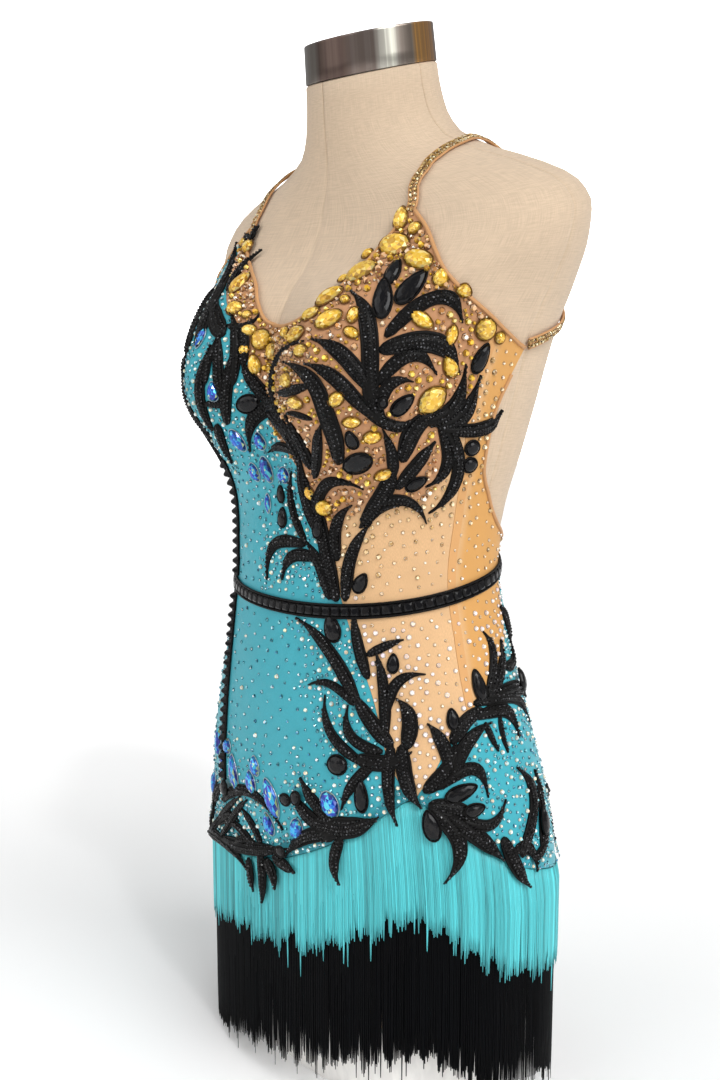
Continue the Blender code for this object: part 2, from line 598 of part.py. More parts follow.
def make_strap(name, side):
    angles, levels, lifts = strap_rows(side)
    middle = lifted(angles, levels, lifts)
    normal = form_normal(angles, levels)
    along = np.gradient(middle, axis=0)
    across = np.cross(along, normal)
    across /= np.linalg.norm(across, axis=1, keepdims=True)
    half = across * STRAP_WIDTH / 2
    rise = normal * STRAP_WALL
    sections = np.stack([middle - half, middle + half, middle + half + rise, middle - half + rise], 1)
    rings = [ring[::-1] for ring in sections]
    ring_loft(name, rings, NUDE)


def make_belt():
    angles = np.arange(RING_STEPS) * 360.0 / RING_STEPS
    level = belt_level(angles)
    low, high = level - BELT_WIDTH / 2, level + BELT_WIDTH / 2
    near = np.full(RING_STEPS, BELT_LIFT)
    rings = [lifted(angles, low, near), lifted(angles, low, near + BELT_WALL),
             lifted(angles, high, near + BELT_WALL), lifted(angles, high, near)]
    ring_loft("belt", rings, BLACK, closed=True)


def make_trim_band():
    """The narrow stoned band down the wearer's right, broken by the belt."""
    belt_middle = float(belt_level(np.float64(angle_of_arc(TRIM_ARC, 0.0))))
    gap = BELT_WIDTH / 2 + 1.0 * MM
    for name, low, high in (("trim_band_bodice", belt_middle + gap, TRIM_TOP),
                            ("trim_band_skirt", TRIM_BOTTOM, belt_middle - gap)):
        levels = [low] + [s for s in LEVELS if low + 0.004 < s < high - 0.004] + [high]
        rings = []
        for level in levels:
            sides = [angle_of_arc(TRIM_ARC + side * TRIM_WIDTH / 2, level) for side in (-1, 1)]
            angles = np.array([sides[0], sides[1], sides[1], sides[0]])
            lifts = TRIM_LIFT + np.array([0, 0, BELT_WALL, BELT_WALL])
            rings.append(lifted(angles, np.full(4, level), lifts)[::-1])
        ring_loft(name, rings, BLACK)


# ---------------------------------------------------------------- applique
LEAF_SHARES = np.array([0.0, 0.30, 0.62, 1.0])
LEAF_SWELL = np.array([0.70, 1.10, 0.95, 0.0])     # share of the listed width there
LEAF_SPAN = 18.0 * MM       # longest straight stretch of a leaf


def leaf_spine(row, spans=0):
    """Points along a leaf's bent middle on the flat chart, and its half widths."""
    base, tip = np.array(row[0:2]) * MM, np.array(row[2:4]) * MM
    bend, width = row[4] * MM, row[5] * MM
    along = tip - base
    left = np.array([-along[1], along[0]]) / np.linalg.norm(along)
    control = (base + tip) / 2 + left * 2 * bend
    spans = spans or int(np.clip(round(np.linalg.norm(along) / LEAF_SPAN), 2, 6))
    t = np.linspace(0, 1, spans + 1)[:, None]
    spine = base * (1 - t) ** 2 + control * 2 * t * (1 - t) + tip * t * t
    return spine, np.interp(t[:, 0], LEAF_SHARES, LEAF_SWELL) * width / 2


def leaf_outline(row):
    spine, halves = leaf_spine(row)
    slope = np.gradient(spine, axis=0)
    side = np.stack([-slope[:, 1], slope[:, 0]], 1)
    side /= np.linalg.norm(side, axis=1, keepdims=True)
    left = spine + side * halves[:, None]
    right = spine - side * halves[:, None]
    return [tuple(p) for p in right[:-1]] + [tuple(spine[-1])] + [tuple(p) for p in left[:-1][::-1]]


def padded_height(points, rows):
    """How far the padding stands up at flat points: full along each leaf's middle."""
    best = np.zeros(len(points))
    for row in rows:
        spine, width = leaf_spine(row, 16)
        away = np.hypot(points[:, 0, None] - spine[:, 0], points[:, 1, None] - spine[:, 1])
        share = np.clip(1 - (away / np.maximum(width, 1e-5)) ** 2, 0, 1)
        best = np.maximum(best, np.max(np.sqrt(share) * np.minimum(1, width / (5 * MM)), axis=1))
    return best


def make_applique(name, rows, clearance):
    outlines = [leaf_outline(row) for row in rows]
    spines = [tuple(p) for row in rows for p in leaf_spine(row)[0][1:-1]]
    points, cells = triangles_inside(outlines, spines)
    angles = np.array([angle_of_arc(u, v) for u, v in points])
    levels = points[:, 1]
    below = hem_level(angles) - levels
    ramp = np.clip((below + 18 * MM) / (16 * MM), 0, 1)
    base = TRIM_LIFT + clearance + HANG_LIFT * ramp * ramp * (3 - 2 * ramp)
    base += DRAPE_LIFT * np.clip(below / DRAPE_DROP, 0, 1)
    raised = base + LEAF_EDGE + LEAF_CROWN * padded_height(points, rows)
    wall_from_flat(name, cells, lifted(angles, levels, base), lifted(angles, levels, raised), BLACK)


# ---------------------------------------------------------------- fringe
def strand_rings(angle, share, pitch, levels, lifts):
    """Quads down one strand: the cloth side's two corners, then the outer two."""
    rings = []
    for level, lift, width in zip(levels, lifts, share):
        spread = width * pitch / 2
        angles = np.array([angle + spread, angle - spread, angle - spread, angle + spread])
        held = max(level, WIDEST_LEVEL)
        places = lifted(angles, np.full(4, held), lift + np.array([0, 0, FRINGE_WALL, FRINGE_WALL]))
        places[:, 2] += level - held
        rings.append(places)
    return rings


def make_fringe(name, count, root_lift, wide_lift, share, ends_column):
    pitch = 360.0 / count
    points, faces = [], []
    tops = []
    for k in range(count):
        angle = -180 + (k + 0.5) * pitch
        top = float(hem_level(angle)) - STRIP_GAP
        root = top - STRIP_HEIGHT
        end = float(np.interp(angle, FRINGE_ENDS[:, 0], FRINGE_ENDS[:, ends_column]))
        end += 0.004 * math.sin(k * 2.4) + 0.003 * math.sin(k * 5.1)
        levels = [root] + [s for s in (BULGE_LEVEL, WIDEST_LEVEL - 0.004) if end + 0.01 < s < root - 0.01]
        levels.append(end)
        part = [min(1.0, (root - s) / max(root - WIDEST_LEVEL, 0.012)) for s in levels]
        lifts = [root_lift + (wide_lift - root_lift) * p for p in part]
        widths = [share] * (len(levels) - 1) + [share * END_SHARE]
        rings = strand_rings(angle, widths, pitch, levels, lifts)
        first = len(points)
        points.extend(p for ring in rings[:-1] for p in ring)
        tip = len(points)
        points.extend((rings[-1][:2] + rings[-1][3:1:-1]) / 2)
        # the wedge of the strip above this strand, one sharp edge along its top
        edge = lifted(np.array([angle + share * pitch / 2, angle - share * pitch / 2]),
                      np.full(2, top), np.full(2, root_lift + FRINGE_WALL / 2))
        tops.append(len(points))
        points.extend(edge)
        for r in range(len(rings) - 2):
            a, b = first + 4 * r, first + 4 * (r + 1)
            for i in range(4):
                j = (i + 1) % 4
                faces.append((a + j, a + i, b + i, b + j))
        a = tip - 4
        faces.append((a + 1, a, tip, tip + 1))
        faces.append((a + 3, a + 2, tip + 1, tip))
        faces.append((a + 2, a + 1, tip + 1))
        faces.append((a, a + 3, tip))
        left, right = tops[-1], tops[-1] + 1
        faces.append((first + 1, first, left, right))
        faces.append((first + 3, first + 2, right, left))
    roots = root_starts(tops)
    for k in range(count):
        after = (k + 1) % count
        near, far = roots[k], roots[after]
        # this strand's left corners are joined to the next strand's right ones
        low_in, low_out, high = near, near + 3, tops[k]
        next_in, next_out, next_high = far + 1, far + 2, tops[after] + 1
        faces.append((low_in, next_in, next_high, high))
        faces.append((next_out, low_out, high, next_high))
        faces.append((low_out, next_out, next_in, low_in))
    finish = BLACK if name.endswith("black") else TURQUOISE
    solid(name, points, faces, finish)


def root_starts(tops):
    """Index of each strand's first corner: just after the strand before it."""
    return [0] + [t + 2 for t in tops[:-1]]


def main():
    for old in list(bpy.data.objects):
        bpy.data.objects.remove(old)
    collection = bpy.data.collections.new(COLLECTION)
    bpy.context.scene.collection.children.link(collection)
    make_form()
    make_bodice()
    make_skirt()
    make_strap("strap_left", 1)
    make_strap("strap_right", -1)
    make_belt()
    make_trim_band()
    for row in APPLIQUES:
        make_applique(*row)
    for row in FRINGES:
        make_fringe(*row)


main()
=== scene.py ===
"""The looks of a salsa dance dress on its dress form.

The dress is sewn round one surface, the form's own. A place on it is an angle
(degrees, 0 at the centre front, positive towards the wearer's left) and a
level (metres above the waist), or on the flat cutting chart an arc from the
centre front and a level. Everything is in metres unless its name says mm.
"""
import math

import bpy
import numpy as np
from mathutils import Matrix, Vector
from mathutils.geometry import delaunay_2d_cdt


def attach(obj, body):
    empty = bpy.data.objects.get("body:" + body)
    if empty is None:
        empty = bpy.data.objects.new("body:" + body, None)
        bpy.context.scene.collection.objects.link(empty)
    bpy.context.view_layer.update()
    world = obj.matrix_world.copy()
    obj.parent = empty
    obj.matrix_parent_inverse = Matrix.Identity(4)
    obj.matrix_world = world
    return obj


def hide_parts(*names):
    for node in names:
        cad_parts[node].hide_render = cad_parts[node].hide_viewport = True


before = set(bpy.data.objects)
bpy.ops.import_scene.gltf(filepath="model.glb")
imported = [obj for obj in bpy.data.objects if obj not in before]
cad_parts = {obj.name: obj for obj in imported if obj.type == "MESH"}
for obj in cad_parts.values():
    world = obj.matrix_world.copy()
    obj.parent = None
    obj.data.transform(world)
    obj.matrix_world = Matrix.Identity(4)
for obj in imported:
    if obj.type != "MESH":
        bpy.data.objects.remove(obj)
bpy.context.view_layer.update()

bl_info = {
    "name": "Salsa dance dress",
    "version": (1, 0, 0),
    "blender": (4, 5, 0),
    "location": "View3D > Sidebar > Dress",
    "description": "Dresses the packed dress form with cloth, applique, stones and fringe",
    "category": "Object",
}

MM = 0.001

# ------------------------ the form
WAIST_HEIGHT = 0.430
NECK_TILT = 0.25            # slope of the neck's plane, the front edge lower
NECK_DROP = 0.008
TILT_FROM, TILT_OVER = 0.22, 0.09
FORM_BOTTOM, NECK_TOP, CAP_TOP = -0.430, 0.4150, 0.4450

# level, half width, front depth, back depth, centre y, roundness power
FORM_ROWS = np.array([
    (-0.430, 0.128, 0.076, 0.086, 0.008, 2.20),
    (-0.370, 0.150, 0.090, 0.108, 0.008, 2.20),
    (-0.310, 0.168, 0.100, 0.127, 0.007, 2.15),
    (-0.245, 0.174, 0.105, 0.130, 0.005, 2.10),
    (-0.175, 0.167, 0.105, 0.120, 0.003, 2.10),
    (-0.110, 0.153, 0.101, 0.105, 0.001, 2.10),
    (-0.050, 0.135, 0.096, 0.093, 0.000, 2.10),
    (0.015, 0.122, 0.092, 0.087, 0.000, 2.10),
    (0.060, 0.126, 0.094, 0.091, 0.004, 2.10),
    (0.110, 0.138, 0.100, 0.099, 0.009, 2.10),
    (0.155, 0.148, 0.105, 0.105, 0.014, 2.10),
    (0.200, 0.159, 0.104, 0.108, 0.018, 2.15),
    (0.240, 0.175, 0.096, 0.106, 0.023, 2.20),
    (0.270, 0.187, 0.087, 0.100, 0.025, 2.30),
    (0.293, 0.191, 0.080, 0.093, 0.026, 2.30),
    (0.312, 0.183, 0.073, 0.084, 0.025, 2.20),
    (0.330, 0.150, 0.066, 0.073, 0.022, 2.10),
    (0.346, 0.103, 0.060, 0.064, 0.018, 2.00),
    (0.361, 0.072, 0.056, 0.058, 0.014, 2.00),
    (0.380, 0.059, 0.054, 0.055, 0.010, 2.00),
    (0.410, 0.054, 0.052, 0.052, 0.006, 2.00),
    (0.445, 0.053, 0.051, 0.051, 0.002, 2.00),
])
BUST_X, BUST_LEVEL, BUST_RISE = 0.090, 0.160, 0.052
BUST_SPREAD, BUST_ABOVE, BUST_BELOW = 0.050, 0.060, 0.040

# ------------------------ the cloth
CLOTH_LIFT = 1.2 * MM       # from the form to the inside of the cloth
CLOTH_WALL = 1.2 * MM
CLOTH_FACE = CLOTH_LIFT + CLOTH_WALL
SEAM_GAP = 0.3 * MM
SIDE_SEAM = 76.0            # degrees from the centre front
BELT_LEVEL, BELT_SLOPE = 0.003, 0.20
BELT_WIDTH = 12.0 * MM
TRIM_LIFT = CLOTH_FACE + 0.4 * MM
BELT_LIFT = TRIM_LIFT + 0.4 * MM

# angle, level of the hem
HEM = np.array([
    (-180, -0.238), (-50, -0.240), (-15, -0.236), (0, -0.228), (10, -0.215), (22, -0.197),
    (32, -0.181), (42, -0.163), (50, -0.152), (58, -0.163), (66, -0.178), (75, -0.190),
    (85, -0.205), (100, -0.220), (130, -0.236), (180, -0.238),
])
# level, angle of the seam from the right strap to the hem, gold or nude on its left
FRONT_SEAM = np.array([
    (0.312, -30), (0.288, -31), (0.261, -28), (0.226, -19), (0.209, -13.5), (0.190, -8.5),
    (0.170, -5), (0.152, -2), (0.133, 0), (0.118, 5), (0.099, 11.5), (0.078, 16.5),
    (0.058, 20.5), (0.034, 24.5), (0.000, 29), (-0.035, 34), (-0.079, 40), (-0.123, 43),
    (-0.1505, 49),
])
# level, angle of the seam where the hip's turquoise meets the nude
HIP_SEAM = np.array([
    (-0.1505, 51), (-0.133, 58), (-0.100, 70), (-0.081, 83), (-0.044, 110), (0.012, 124),
])
HIP_TOP = 124.0             # degrees, where the hip's seam meets the belt
# angle, level down the neckline from one strap to the other
NECKLINE = np.array([
    (-30, 0.312), (-24, 0.290), (-17, 0.268), (-11, 0.243), (-7, 0.222), (-2, 0.207),
    (7, 0.204), (19, 0.213), (23, 0.229), (22, 0.262), (23, 0.290), (28, 0.312),
])
# angle, level from the strap along the armhole to its corner, on the left
ARMHOLE = np.array([(31, 0.312), (36, 0.290), (45, 0.259), (59, 0.230), (75, 0.209), (90, 0.189)])
# angle, level from the armhole's corner down the open back, on the left
BACK_EDGE = np.array([
    (88, 0.169), (86, 0.149), (85, 0.118), (86, 0.096), (91, 0.078), (100, 0.058),
    (116, 0.042), (140, 0.032), (180, 0.028),
])
# angle, level along a strap, from the bodice over the shoulder to the other side
STRAP_ROUTE = np.array([
    (29.5, 0.3125), (35, 0.3275), (48, 0.339), (66, 0.347), (90, 0.3515), (112, 0.352),
    (132, 0.3455), (148, 0.3345), (160, 0.319), (171, 0.298), (180, 0.277), (190, 0.258),
    (202, 0.241), (218, 0.2255), (240, 0.2085), (268.5, 0.1915),
])
STRAP_WIDTH = 9.0 * MM
STRAP_LIFT = 1.3 * MM
STRAP_CROSS_LIFT = 2.4 * MM     # the right strap passes over the left one
TRIM_ARC, TRIM_WIDTH = -80.0 * MM, 9.0 * MM
TRIM_TOP, TRIM_BOTTOM = 0.097, -0.183

# ------------------------ the fringe
WIDEST_LEVEL = -0.245
# angle, level of the turquoise fringe's ends, level of the black fringe's ends
FRINGE_ENDS = np.array([
    (-180, -0.318, -0.420), (-45, -0.318, -0.424), (10, -0.292, -0.392), (50, -0.242, -0.357),
    (80, -0.289, -0.386), (130, -0.318, -0.414), (180, -0.318, -0.420),
])

# ------------------------ the applique
# Each stroke is a padded leaf: base arc, base level, tip arc, tip level, bend, width (mm).
# The bend is how far its middle stands to the left of the line from base to tip.
BODICE_LEAVES = (
    # left bust, a fan on one upright stem
    (128, 152, 88, 228, -12, 12), (127, 157, 77, 193, -7, 11), (124, 137, 76, 176, -8, 11),
    (118, 149, 148, 137, -9, 11), (130, 195, 181, 206, 23, 13), (128, 186, 192, 169, 15, 15),
    (131, 162, 174, 169, 17, 11), (131, 146, 157, 164, 8, 9), (127, 135, 123, 186, -1, 12),
    # left side, curling up to the armhole and down to the waist
    (81, 56, 119, 107, -1, 12), (111, 94, 124, 131, -2, 8), (123, 106, 182, 143, 8, 10),
    (157, 134, 195, 177, -14, 11), (165, 130, 209, 169, -10, 10), (165, 130, 228, 143, -8, 10),
    (168, 133, 133, 86, 8, 8), (177, 133, 131, 65, 8, 9), (164, 103, 170, 138, -2, 9),
    (111, 85, 157, 121, 1, 8), (90, 70, 129, 57, 13, 9), (79, 53, 122, 72, 7, 6),
    # centre, stems that rise from the belt into one loop
    (50, 114, 69, 192, 44, 10), (46, 98, 46, 140, -2, 13), (75, 104, 46, 177, -32, 13),
    (47, 91, 83, 135, 2, 8), (82, 161, 33, 155, 2, 7), (77, 138, 49, 141, -1, 5),
    (39, 61, 87, 84, 15, 9), (61, -6, 38, 91, 1, 12), (48, 42, 41, 109, 11, 13),
    (31, 38, 22, 94, 10, 8), (31, 36, -14, 2, -18, 10), (44, 26, 6, 5, -12, 10),
    (68, -5, 89, 58, 7, 10), (61, 26, 75, 71, 9, 10), (55, -5, 30, 40, -4, 10),
    # right bust, up to the strap
    (-67, 236, -64, 292, 15, 11), (-77, 221, -118, 301, 1, 13), (-42, 129, -33, 194, -1, 11),
    (-32, 159, -48, 215, -7, 10), (6, 145, -27, 180, 3, 11), (27, 146, -26, 107, -15, 13),
    (3, 139, 31, 96, 16, 15), (37, 111, -6, 107, -4, 8), (-52, 129, -56, 96, -4, 11),
    (-64, 123, -57, 190, 3, 11), (-42, 148, -52, 201, 0, 10), (-39, 145, -61, 146, 1, 6),
    (-58, 159, -53, 195, 1, 7), (-86, 81, -88, 134, 2, 8), (-91, 302, -84, 314, 3, 8),
    (-91, 306, -108, 309, 2, 6), (-46, 197, -71, 225, 3, 14), (-72, 188, -104, 262, -8, 15),
    (-92, 182, -112, 246, -6, 14), (-76, 116, -108, 190, 10, 15), (-98, 182, -104, 130, -4, 13),
    (-46, 205, -18, 214, -6, 6), (-52, 198, -84, 232, 0, 12), (-30, 206, -24, 168, 2, 9),
)
SKIRT_LEAVES = (
    # from the belt down the front to the hem
    (86, -83, 23, -23, -8, 11), (92, -63, 75, -11, 2, 9), (89, -45, 116, -32, 1, 7),
    (110, -106, 95, -40, -3, 9), (109, -88, 135, -58, 11, 9), (83, -84, 40, -74, -8, 7),
    (116, -113, 80, -72, 2, 12), (96, -128, 57, -79, 12, 9), (109, -117, 78, -84, 13, 9),
    (126, -114, 115, -76, -7, 12), (123, -110, 142, -157, -5, 12), (115, -111, 125, -171, -5, 10),
    (104, -125, 77, -167, -4, 9), (87, -124, 131, -115, -6, 13),
    # the hip on the wearer's left
    (162, -130, 140, -94, -3, 10), (142, -145, 162, -105, -7, 13), (160, -110, 192, -91, 9, 12),
    (177, -92, 226, -116, 13, 10), (162, -134, 193, -98, 8, 12), (186, -97, 200, -120, 0, 5),
    (201, -94, 211, -123, -1, 5), (188, -78, 182, -31, -10, 9), (188, -81, 206, -41, -8, 12),
    (211, -61, 238, -41, -14, 9), (237, -48, 210, -17, -5, 10), (175, -82, 257, -112, 12, 9),
    (190, -80, 264, -96, 7, 12), (151, -143, 192, -152, 19, 10), (146, -154, 187, -177, 7, 12),
    (172, -166, 208, -156, -12, 9), (147, -155, 159, -213, 16, 12), (161, -162, 204, -201, 2, 13),
    (222, -203, 221, -136, -22, 13), (205, -184, 228, -227, -2, 12), (236, -209, 258, -176, -17, 8),
    (216, -196, 239, -219, 10, 10), (254, -207, 250, -145, -7, 12),
)
HEM_LEAVES = (
    # the hem on the wearer's right
    (71, -178, 36, -149, 4, 12), (49, -183, 110, -166, -6, 17), (72, -186, 20, -220, -7, 12),
    (79, -187, 79, -226, -6, 10), (59, -184, 30, -163, 5, 13), (-87, -205, 15, -199, 22, 10),
    (-132, -250, -27, -248, 10, 10), (-82, -238, 23, -212, -3, 12), (-116, -244, -46, -188, 2, 8),
    (-82, -235, -34, -187, 2, 8), (-19, -227, -89, -228, -10, 8), (-14, -220, -46, -198, -3, 8),
    (-118, -246, -103, -192, 8, 8), (-14, -225, -9, -268, 4, 11), (-5, -229, 10, -250, 3, 11),
    (4, -224, 33, -229, 0, 10), (-100, -232, -50, -212, 8, 8), (-112, -215, -84, -192, 4, 10),
    (-60, -240, -20, -222, 6, 10), (-30, -236, -20, -262, 0, 9), (74, -180, 60, -196, 0, 12),
)
BACK_LEAVES = (
    # the hem at the centre back, one spray
    (338, -190, 366, -151, -8, 12), (350, -182, 290, -168, 8, 12), (325, -183, 384, -222, 2, 11),
    (324, -186, 324, -226, 5, 10), (370, -211, 378, -164, -8, 11), (406, -225, 460, -190, 6, 10),
    (378, -220, 488, -226, -5, 12), (402, -218, 372, -237, 0, 9), (408, -222, 412, -262, 0, 10),
    (450, -233, 492, -186, -14, 12), (395, -219, 455, -185, 14, 12), (414, -220, 482, -217, 11, 10),
    (383, -215, 416, -173, 8, 8),
)
SPRAYS = {
    "applique_bodice": BODICE_LEAVES,
    "applique_skirt": SKIRT_LEAVES,
    "applique_hem": HEM_LEAVES,
    "applique_back": BACK_LEAVES,
}
LEAF_SHARES = np.array([0.0, 0.30, 0.62, 1.0])
LEAF_SWELL = np.array([0.62, 1.06, 0.94, 0.0])     # share of the listed width there
LEAF_HOOK = 0.25            # how much more a leaf bends beside its tip than beside its base
DRAPE_DROP = 25.0 * MM
HANG_LIFT, DRAPE_LIFT = 2.7 * MM, 3.2 * MM   # clear of the fringe below the hem

# ------------------------ the stones
# arc, level, width, height (mm), lean (degrees, positive to the wearer's right)
BLACK_STONES = (
    (110, 249, 12, 22, 32), (131, 232, 15, 32, 2), (116, 222, 15, 32, 36), (147, 148, 12, 20, -46),
    (206, 181, 12, 23, -10), (183, 115, 12, 11, 0), (174, 102, 12, 11, 0), (127, 89, 10, 17, -62),
    (-18, 145, 21, 14, 8), (133, 150, 6, 7, 0),
    (80, 10, 11, 16, -30), (97, 123, 10, 15, 0), (91, 105, 24, 16, 20), (45, 50, 9, 14, 0),
    (4, 74, 8, 13, 0), (5, 55, 10, 15, 0), (59, -27, 15, 21, 14), (110, -50, 9, 14, -8),
    (72, -132, 17, 15, 0), (94, -153, 12, 25, 0), (19, -172, 11, 9, 0), (34, -166, 9, 11, -20),
    (17, -215, 10, 8, 0), (-72, -188, 12, 13, 0),
    (159, -92, 10, 16, 0), (179, -70, 12, 25, 6), (240, -78, 14, 18, 0), (170, -146, 13, 26, -76),
    (180, -159, 11, 16, -80), (149, -169, 14, 24, 10), (255, -185, 12, 22, 0),
)
# The same, for the big gold stones, and which are drop shaped.
GOLD_STONES = (
    (91, 307, 14, 20, -14, "pear"), (107, 297, 11, 10, 20, "oval"), (95, 283, 28, 20, 0, "oval"),
    (123, 263, 25, 16, 14, "oval"), (82, 251, 19, 26, -10, "oval"), (74, 275, 8, 10, -20, "oval"),
    (72, 224, 14, 24, -35, "oval"), (63, 211, 18, 10, 30, "oval"), (84, 207, 14, 23, -45, "oval"),
    (55, 197, 26, 13, 22, "pear"), (-11, 194, 18, 17, 0, "oval"), (-24, 201, 15, 10, 0, "oval"),
    (6, 185, 14, 14, -30, "oval"), (69, 185, 14, 10, 10, "oval"), (-14, 175, 13, 17, 20, "pear"),
    (-25, 186, 10, 9, 0, "oval"), (-61, 246, 18, 26, -20, "pear"), (-46, 218, 16, 13, 0, "oval"),
    (-31, 213, 9, 7, 0, "oval"), (-90, 296, 13, 13, -20, "oval"), (-106, 301, 7, 8, 0, "oval"),
    (101, 210, 9, 13, 14, "oval"), (105, 198, 12, 8, 0, "oval"), (71, 243, 7, 10, -30, "oval"),
    (88, 221, 9, 7, 0, "oval"), (30, 199, 14, 9, 0, "oval"), (57, 164, 16, 12, 0, "oval"),
    (67, 149, 18, 10, 0, "navette"), (101, 152, 13, 10, 40, "oval"), (105, 136, 14, 9, -10, "navette"),
    (113, 125, 14, 10, 0, "oval"), (147, 242, 13, 14, 30, "pear"), (169, 230, 13, 10, 20, "pear"),
    (201, 202, 17, 17, 0, "oval"), (150, 208, 20, 11, 0, "navette"), (177, 197, 9, 16, 8, "navette"),
    (216, 196, 9, 9, 0, "oval"), (183, 175, 13, 17, 42, "pear"), (170, 151, 18, 26, -40, "navette"),
    (106, 96, 16, 9, 16, "navette"), (50, 67, 16, 13, 0, "oval"), (38, 78, 9, 12, 20, "oval"),
)
BLUE_STONES = (
    (-71, 195, 9, 18, -20, "navette"), (-50, 154, 12, 16, 0, "pear"), (-37, 116, 13, 21, 20, "oval"),
    (-13, 116, 12, 15, 10, "pear"), (-11, 93, 12, 22, 15, "oval"), (11, 90, 14, 13, 30, "oval"),
    (-27, 90, 11, 16, 20, "oval"), (-14, 65, 7, 16, 0, "navette"),
    (-57, -170, 14, 32, 20, "pear"), (-21, -154, 12, 17, 20, "pear"), (-27, -170, 12, 21, 22, "navette"),
    (1, -176, 16, 35, 26, "navette"), (-3, -199, 13, 20, 28, "pear"), (31, -194, 14, 19, -12, "oval"),
    (66, -165, 17, 22, 24, "oval"), (-71, -151, 12, 13, 0, "oval"), (-97, -154, 13, 27, 6, "navette"),
    (-116, -199, 12, 24, 0, "navette"), (-84, -172, 9, 18, 8, "oval"),
)
# arc, level above which the bodice's left is covered with gold stones (mm)
GOLD_EDGE = np.array([
    (-30, 60), (20, 20), (56, 40), (70, 62), (96, 70), (128, 72), (150, 95), (170, 122),
    (200, 140), (260, 150),
])
GOLD_END = 0.205            # arc where the gold stones end, towards the back

# Facets' colours, from the one that shows most to the one that shows least.
# The palest entry of the gold, strap, amber, honey and champagne palettes, the two palest aqua ones and
# the cyan and green flashes of the blue are painted glints, light caught in the facets.
GOLD_FACETS = (
    (0.78, 0.47, 0.04), (0.66, 0.35, 0.015), (0.88, 0.6, 0.1), (0.44, 0.2, 0.012),
    (0.96, 0.78, 0.3), (0.28, 0.11, 0.01),
)
STRAP_FACETS = (
    (0.42, 0.24, 0.05), (0.2, 0.095, 0.02), (0.72, 0.5, 0.2), (0.96, 0.86, 0.58),
    (0.1, 0.045, 0.012),
)
AMBER_FACETS = (
    (0.74, 0.44, 0.22), (0.5, 0.22, 0.06), (0.92, 0.68, 0.46), (0.24, 0.08, 0.02),
    (1.0, 0.9, 0.76), (0.62, 0.34, 0.06),
)
PEARL_FACETS = (
    (0.92, 0.8, 0.74), (1.0, 0.95, 0.92), (0.72, 0.54, 0.43), (0.93, 0.74, 0.8),
    (0.98, 0.88, 0.7), (0.8, 0.87, 0.9),
)
HONEY_FACETS = (
    (0.72, 0.5, 0.25), (0.46, 0.28, 0.1), (0.88, 0.72, 0.46), (0.3, 0.16, 0.06),
    (0.96, 0.86, 0.64),
)
CHAMPAGNE_FACETS = (
    (0.86, 0.66, 0.44), (0.62, 0.4, 0.19), (0.95, 0.84, 0.68), (0.42, 0.25, 0.11),
    (0.98, 0.93, 0.84),
)
AQUA_FACETS = (
    (0.02, 0.2, 0.25), (0.16, 0.58, 0.64), (0.008, 0.1, 0.14), (0.66, 0.94, 0.95),
    (0.04, 0.28, 0.5), (0.95, 0.99, 0.97),
)
OPAL_FACETS = (
    (0.8, 0.88, 0.8), (0.95, 0.88, 0.55), (0.55, 0.8, 0.8), (0.98, 0.98, 0.96),
    (0.82, 0.62, 0.45), (0.3, 0.62, 0.66),
)
BLUE_FACETS = (
    (0.008, 0.055, 0.46), (0.015, 0.2, 0.68), (0.005, 0.02, 0.2), (0.03, 0.5, 0.8),
    (0.1, 0.75, 0.8), (0.05, 0.03, 0.4), (0.7, 0.9, 0.3),
)
BLACK_FACETS = ((0.004, 0.004, 0.005), (0.01, 0.009, 0.009), (0.002, 0.002, 0.003))
# The last, pale grey entry is a painted glint on the black.
SEQUIN_FACETS = (
    (0.003, 0.003, 0.003), (0.006, 0.005, 0.005), (0.002, 0.002, 0.002), (0.012, 0.011, 0.011),
    (0.004, 0.004, 0.004), (0.005, 0.004, 0.004), (0.14, 0.14, 0.15),
)


# ------------------------ settings
def size(name, description, default, low, high):
    return bpy.props.FloatProperty(
        name=name, description=description, default=default, min=low, max=high,
        unit="LENGTH", subtype="DISTANCE", precision=4)


def share(name, description, default, high=1.0):
    return bpy.props.FloatProperty(
        name=name, description=description, default=default, min=0.0, max=high, subtype="FACTOR")


def colour(name, description, default):
    return bpy.props.FloatVectorProperty(
        name=name, description=description, default=default, min=0.0, max=1.0, size=3,
        subtype="COLOR")


def angle(name, description, degrees):
    return bpy.props.FloatProperty(
        name=name, description=description, default=math.radians(degrees), unit="ROTATION",
        subtype="ANGLE")


def number(name, description, default, low, high):
    return bpy.props.IntProperty(
        name=name, description=description, default=default, min=low, max=high)


class StageSettings(bpy.types.PropertyGroup):
    """The camera's place, the floor and the light."""

    distance: size("Camera distance", "From the form's axis to the camera", 1.05, 0.5, 4.0)
    height: size("Camera height", "The camera above the floor", 0.615, 0.0, 2.0)
    azimuth: angle("Azimuth", "The camera's turn round the form, 0 at the centre front", 48)
    tilt: angle("Tilt", "How far the camera looks down", 8.55)
    turn: angle("Turn", "How far the camera looks to the left of the form's axis", 0.275)
    lens: bpy.props.FloatProperty(
        name="Lens", description="Focal length on a 36 mm sensor", default=41.67, min=10, max=200,
        unit="CAMERA")
    floor: colour("Floor", "The floor's colour", (0.97, 0.97, 0.97))
    sky: share("Surrounding light", "Strength of the light from all round", 0.40, 4.0)
    key: share("Key light", "Strength of the wide soft light", 2.2, 20.0)


class FormSettings(bpy.types.PropertyGroup):
    """The dress form under the dress."""

    linen: colour("Linen", "The form's linen cover", (0.615, 0.475, 0.340))
    steel: colour("Steel", "The neck's cap", (0.60, 0.57, 0.54))
    board: colour("Board", "The lacquered foot below the linen", (0.82, 0.80, 0.77))
    seam_depth: size("Seam depth", "How deep the cover's seams are drawn in", 0.0007, 0.0, 0.003)


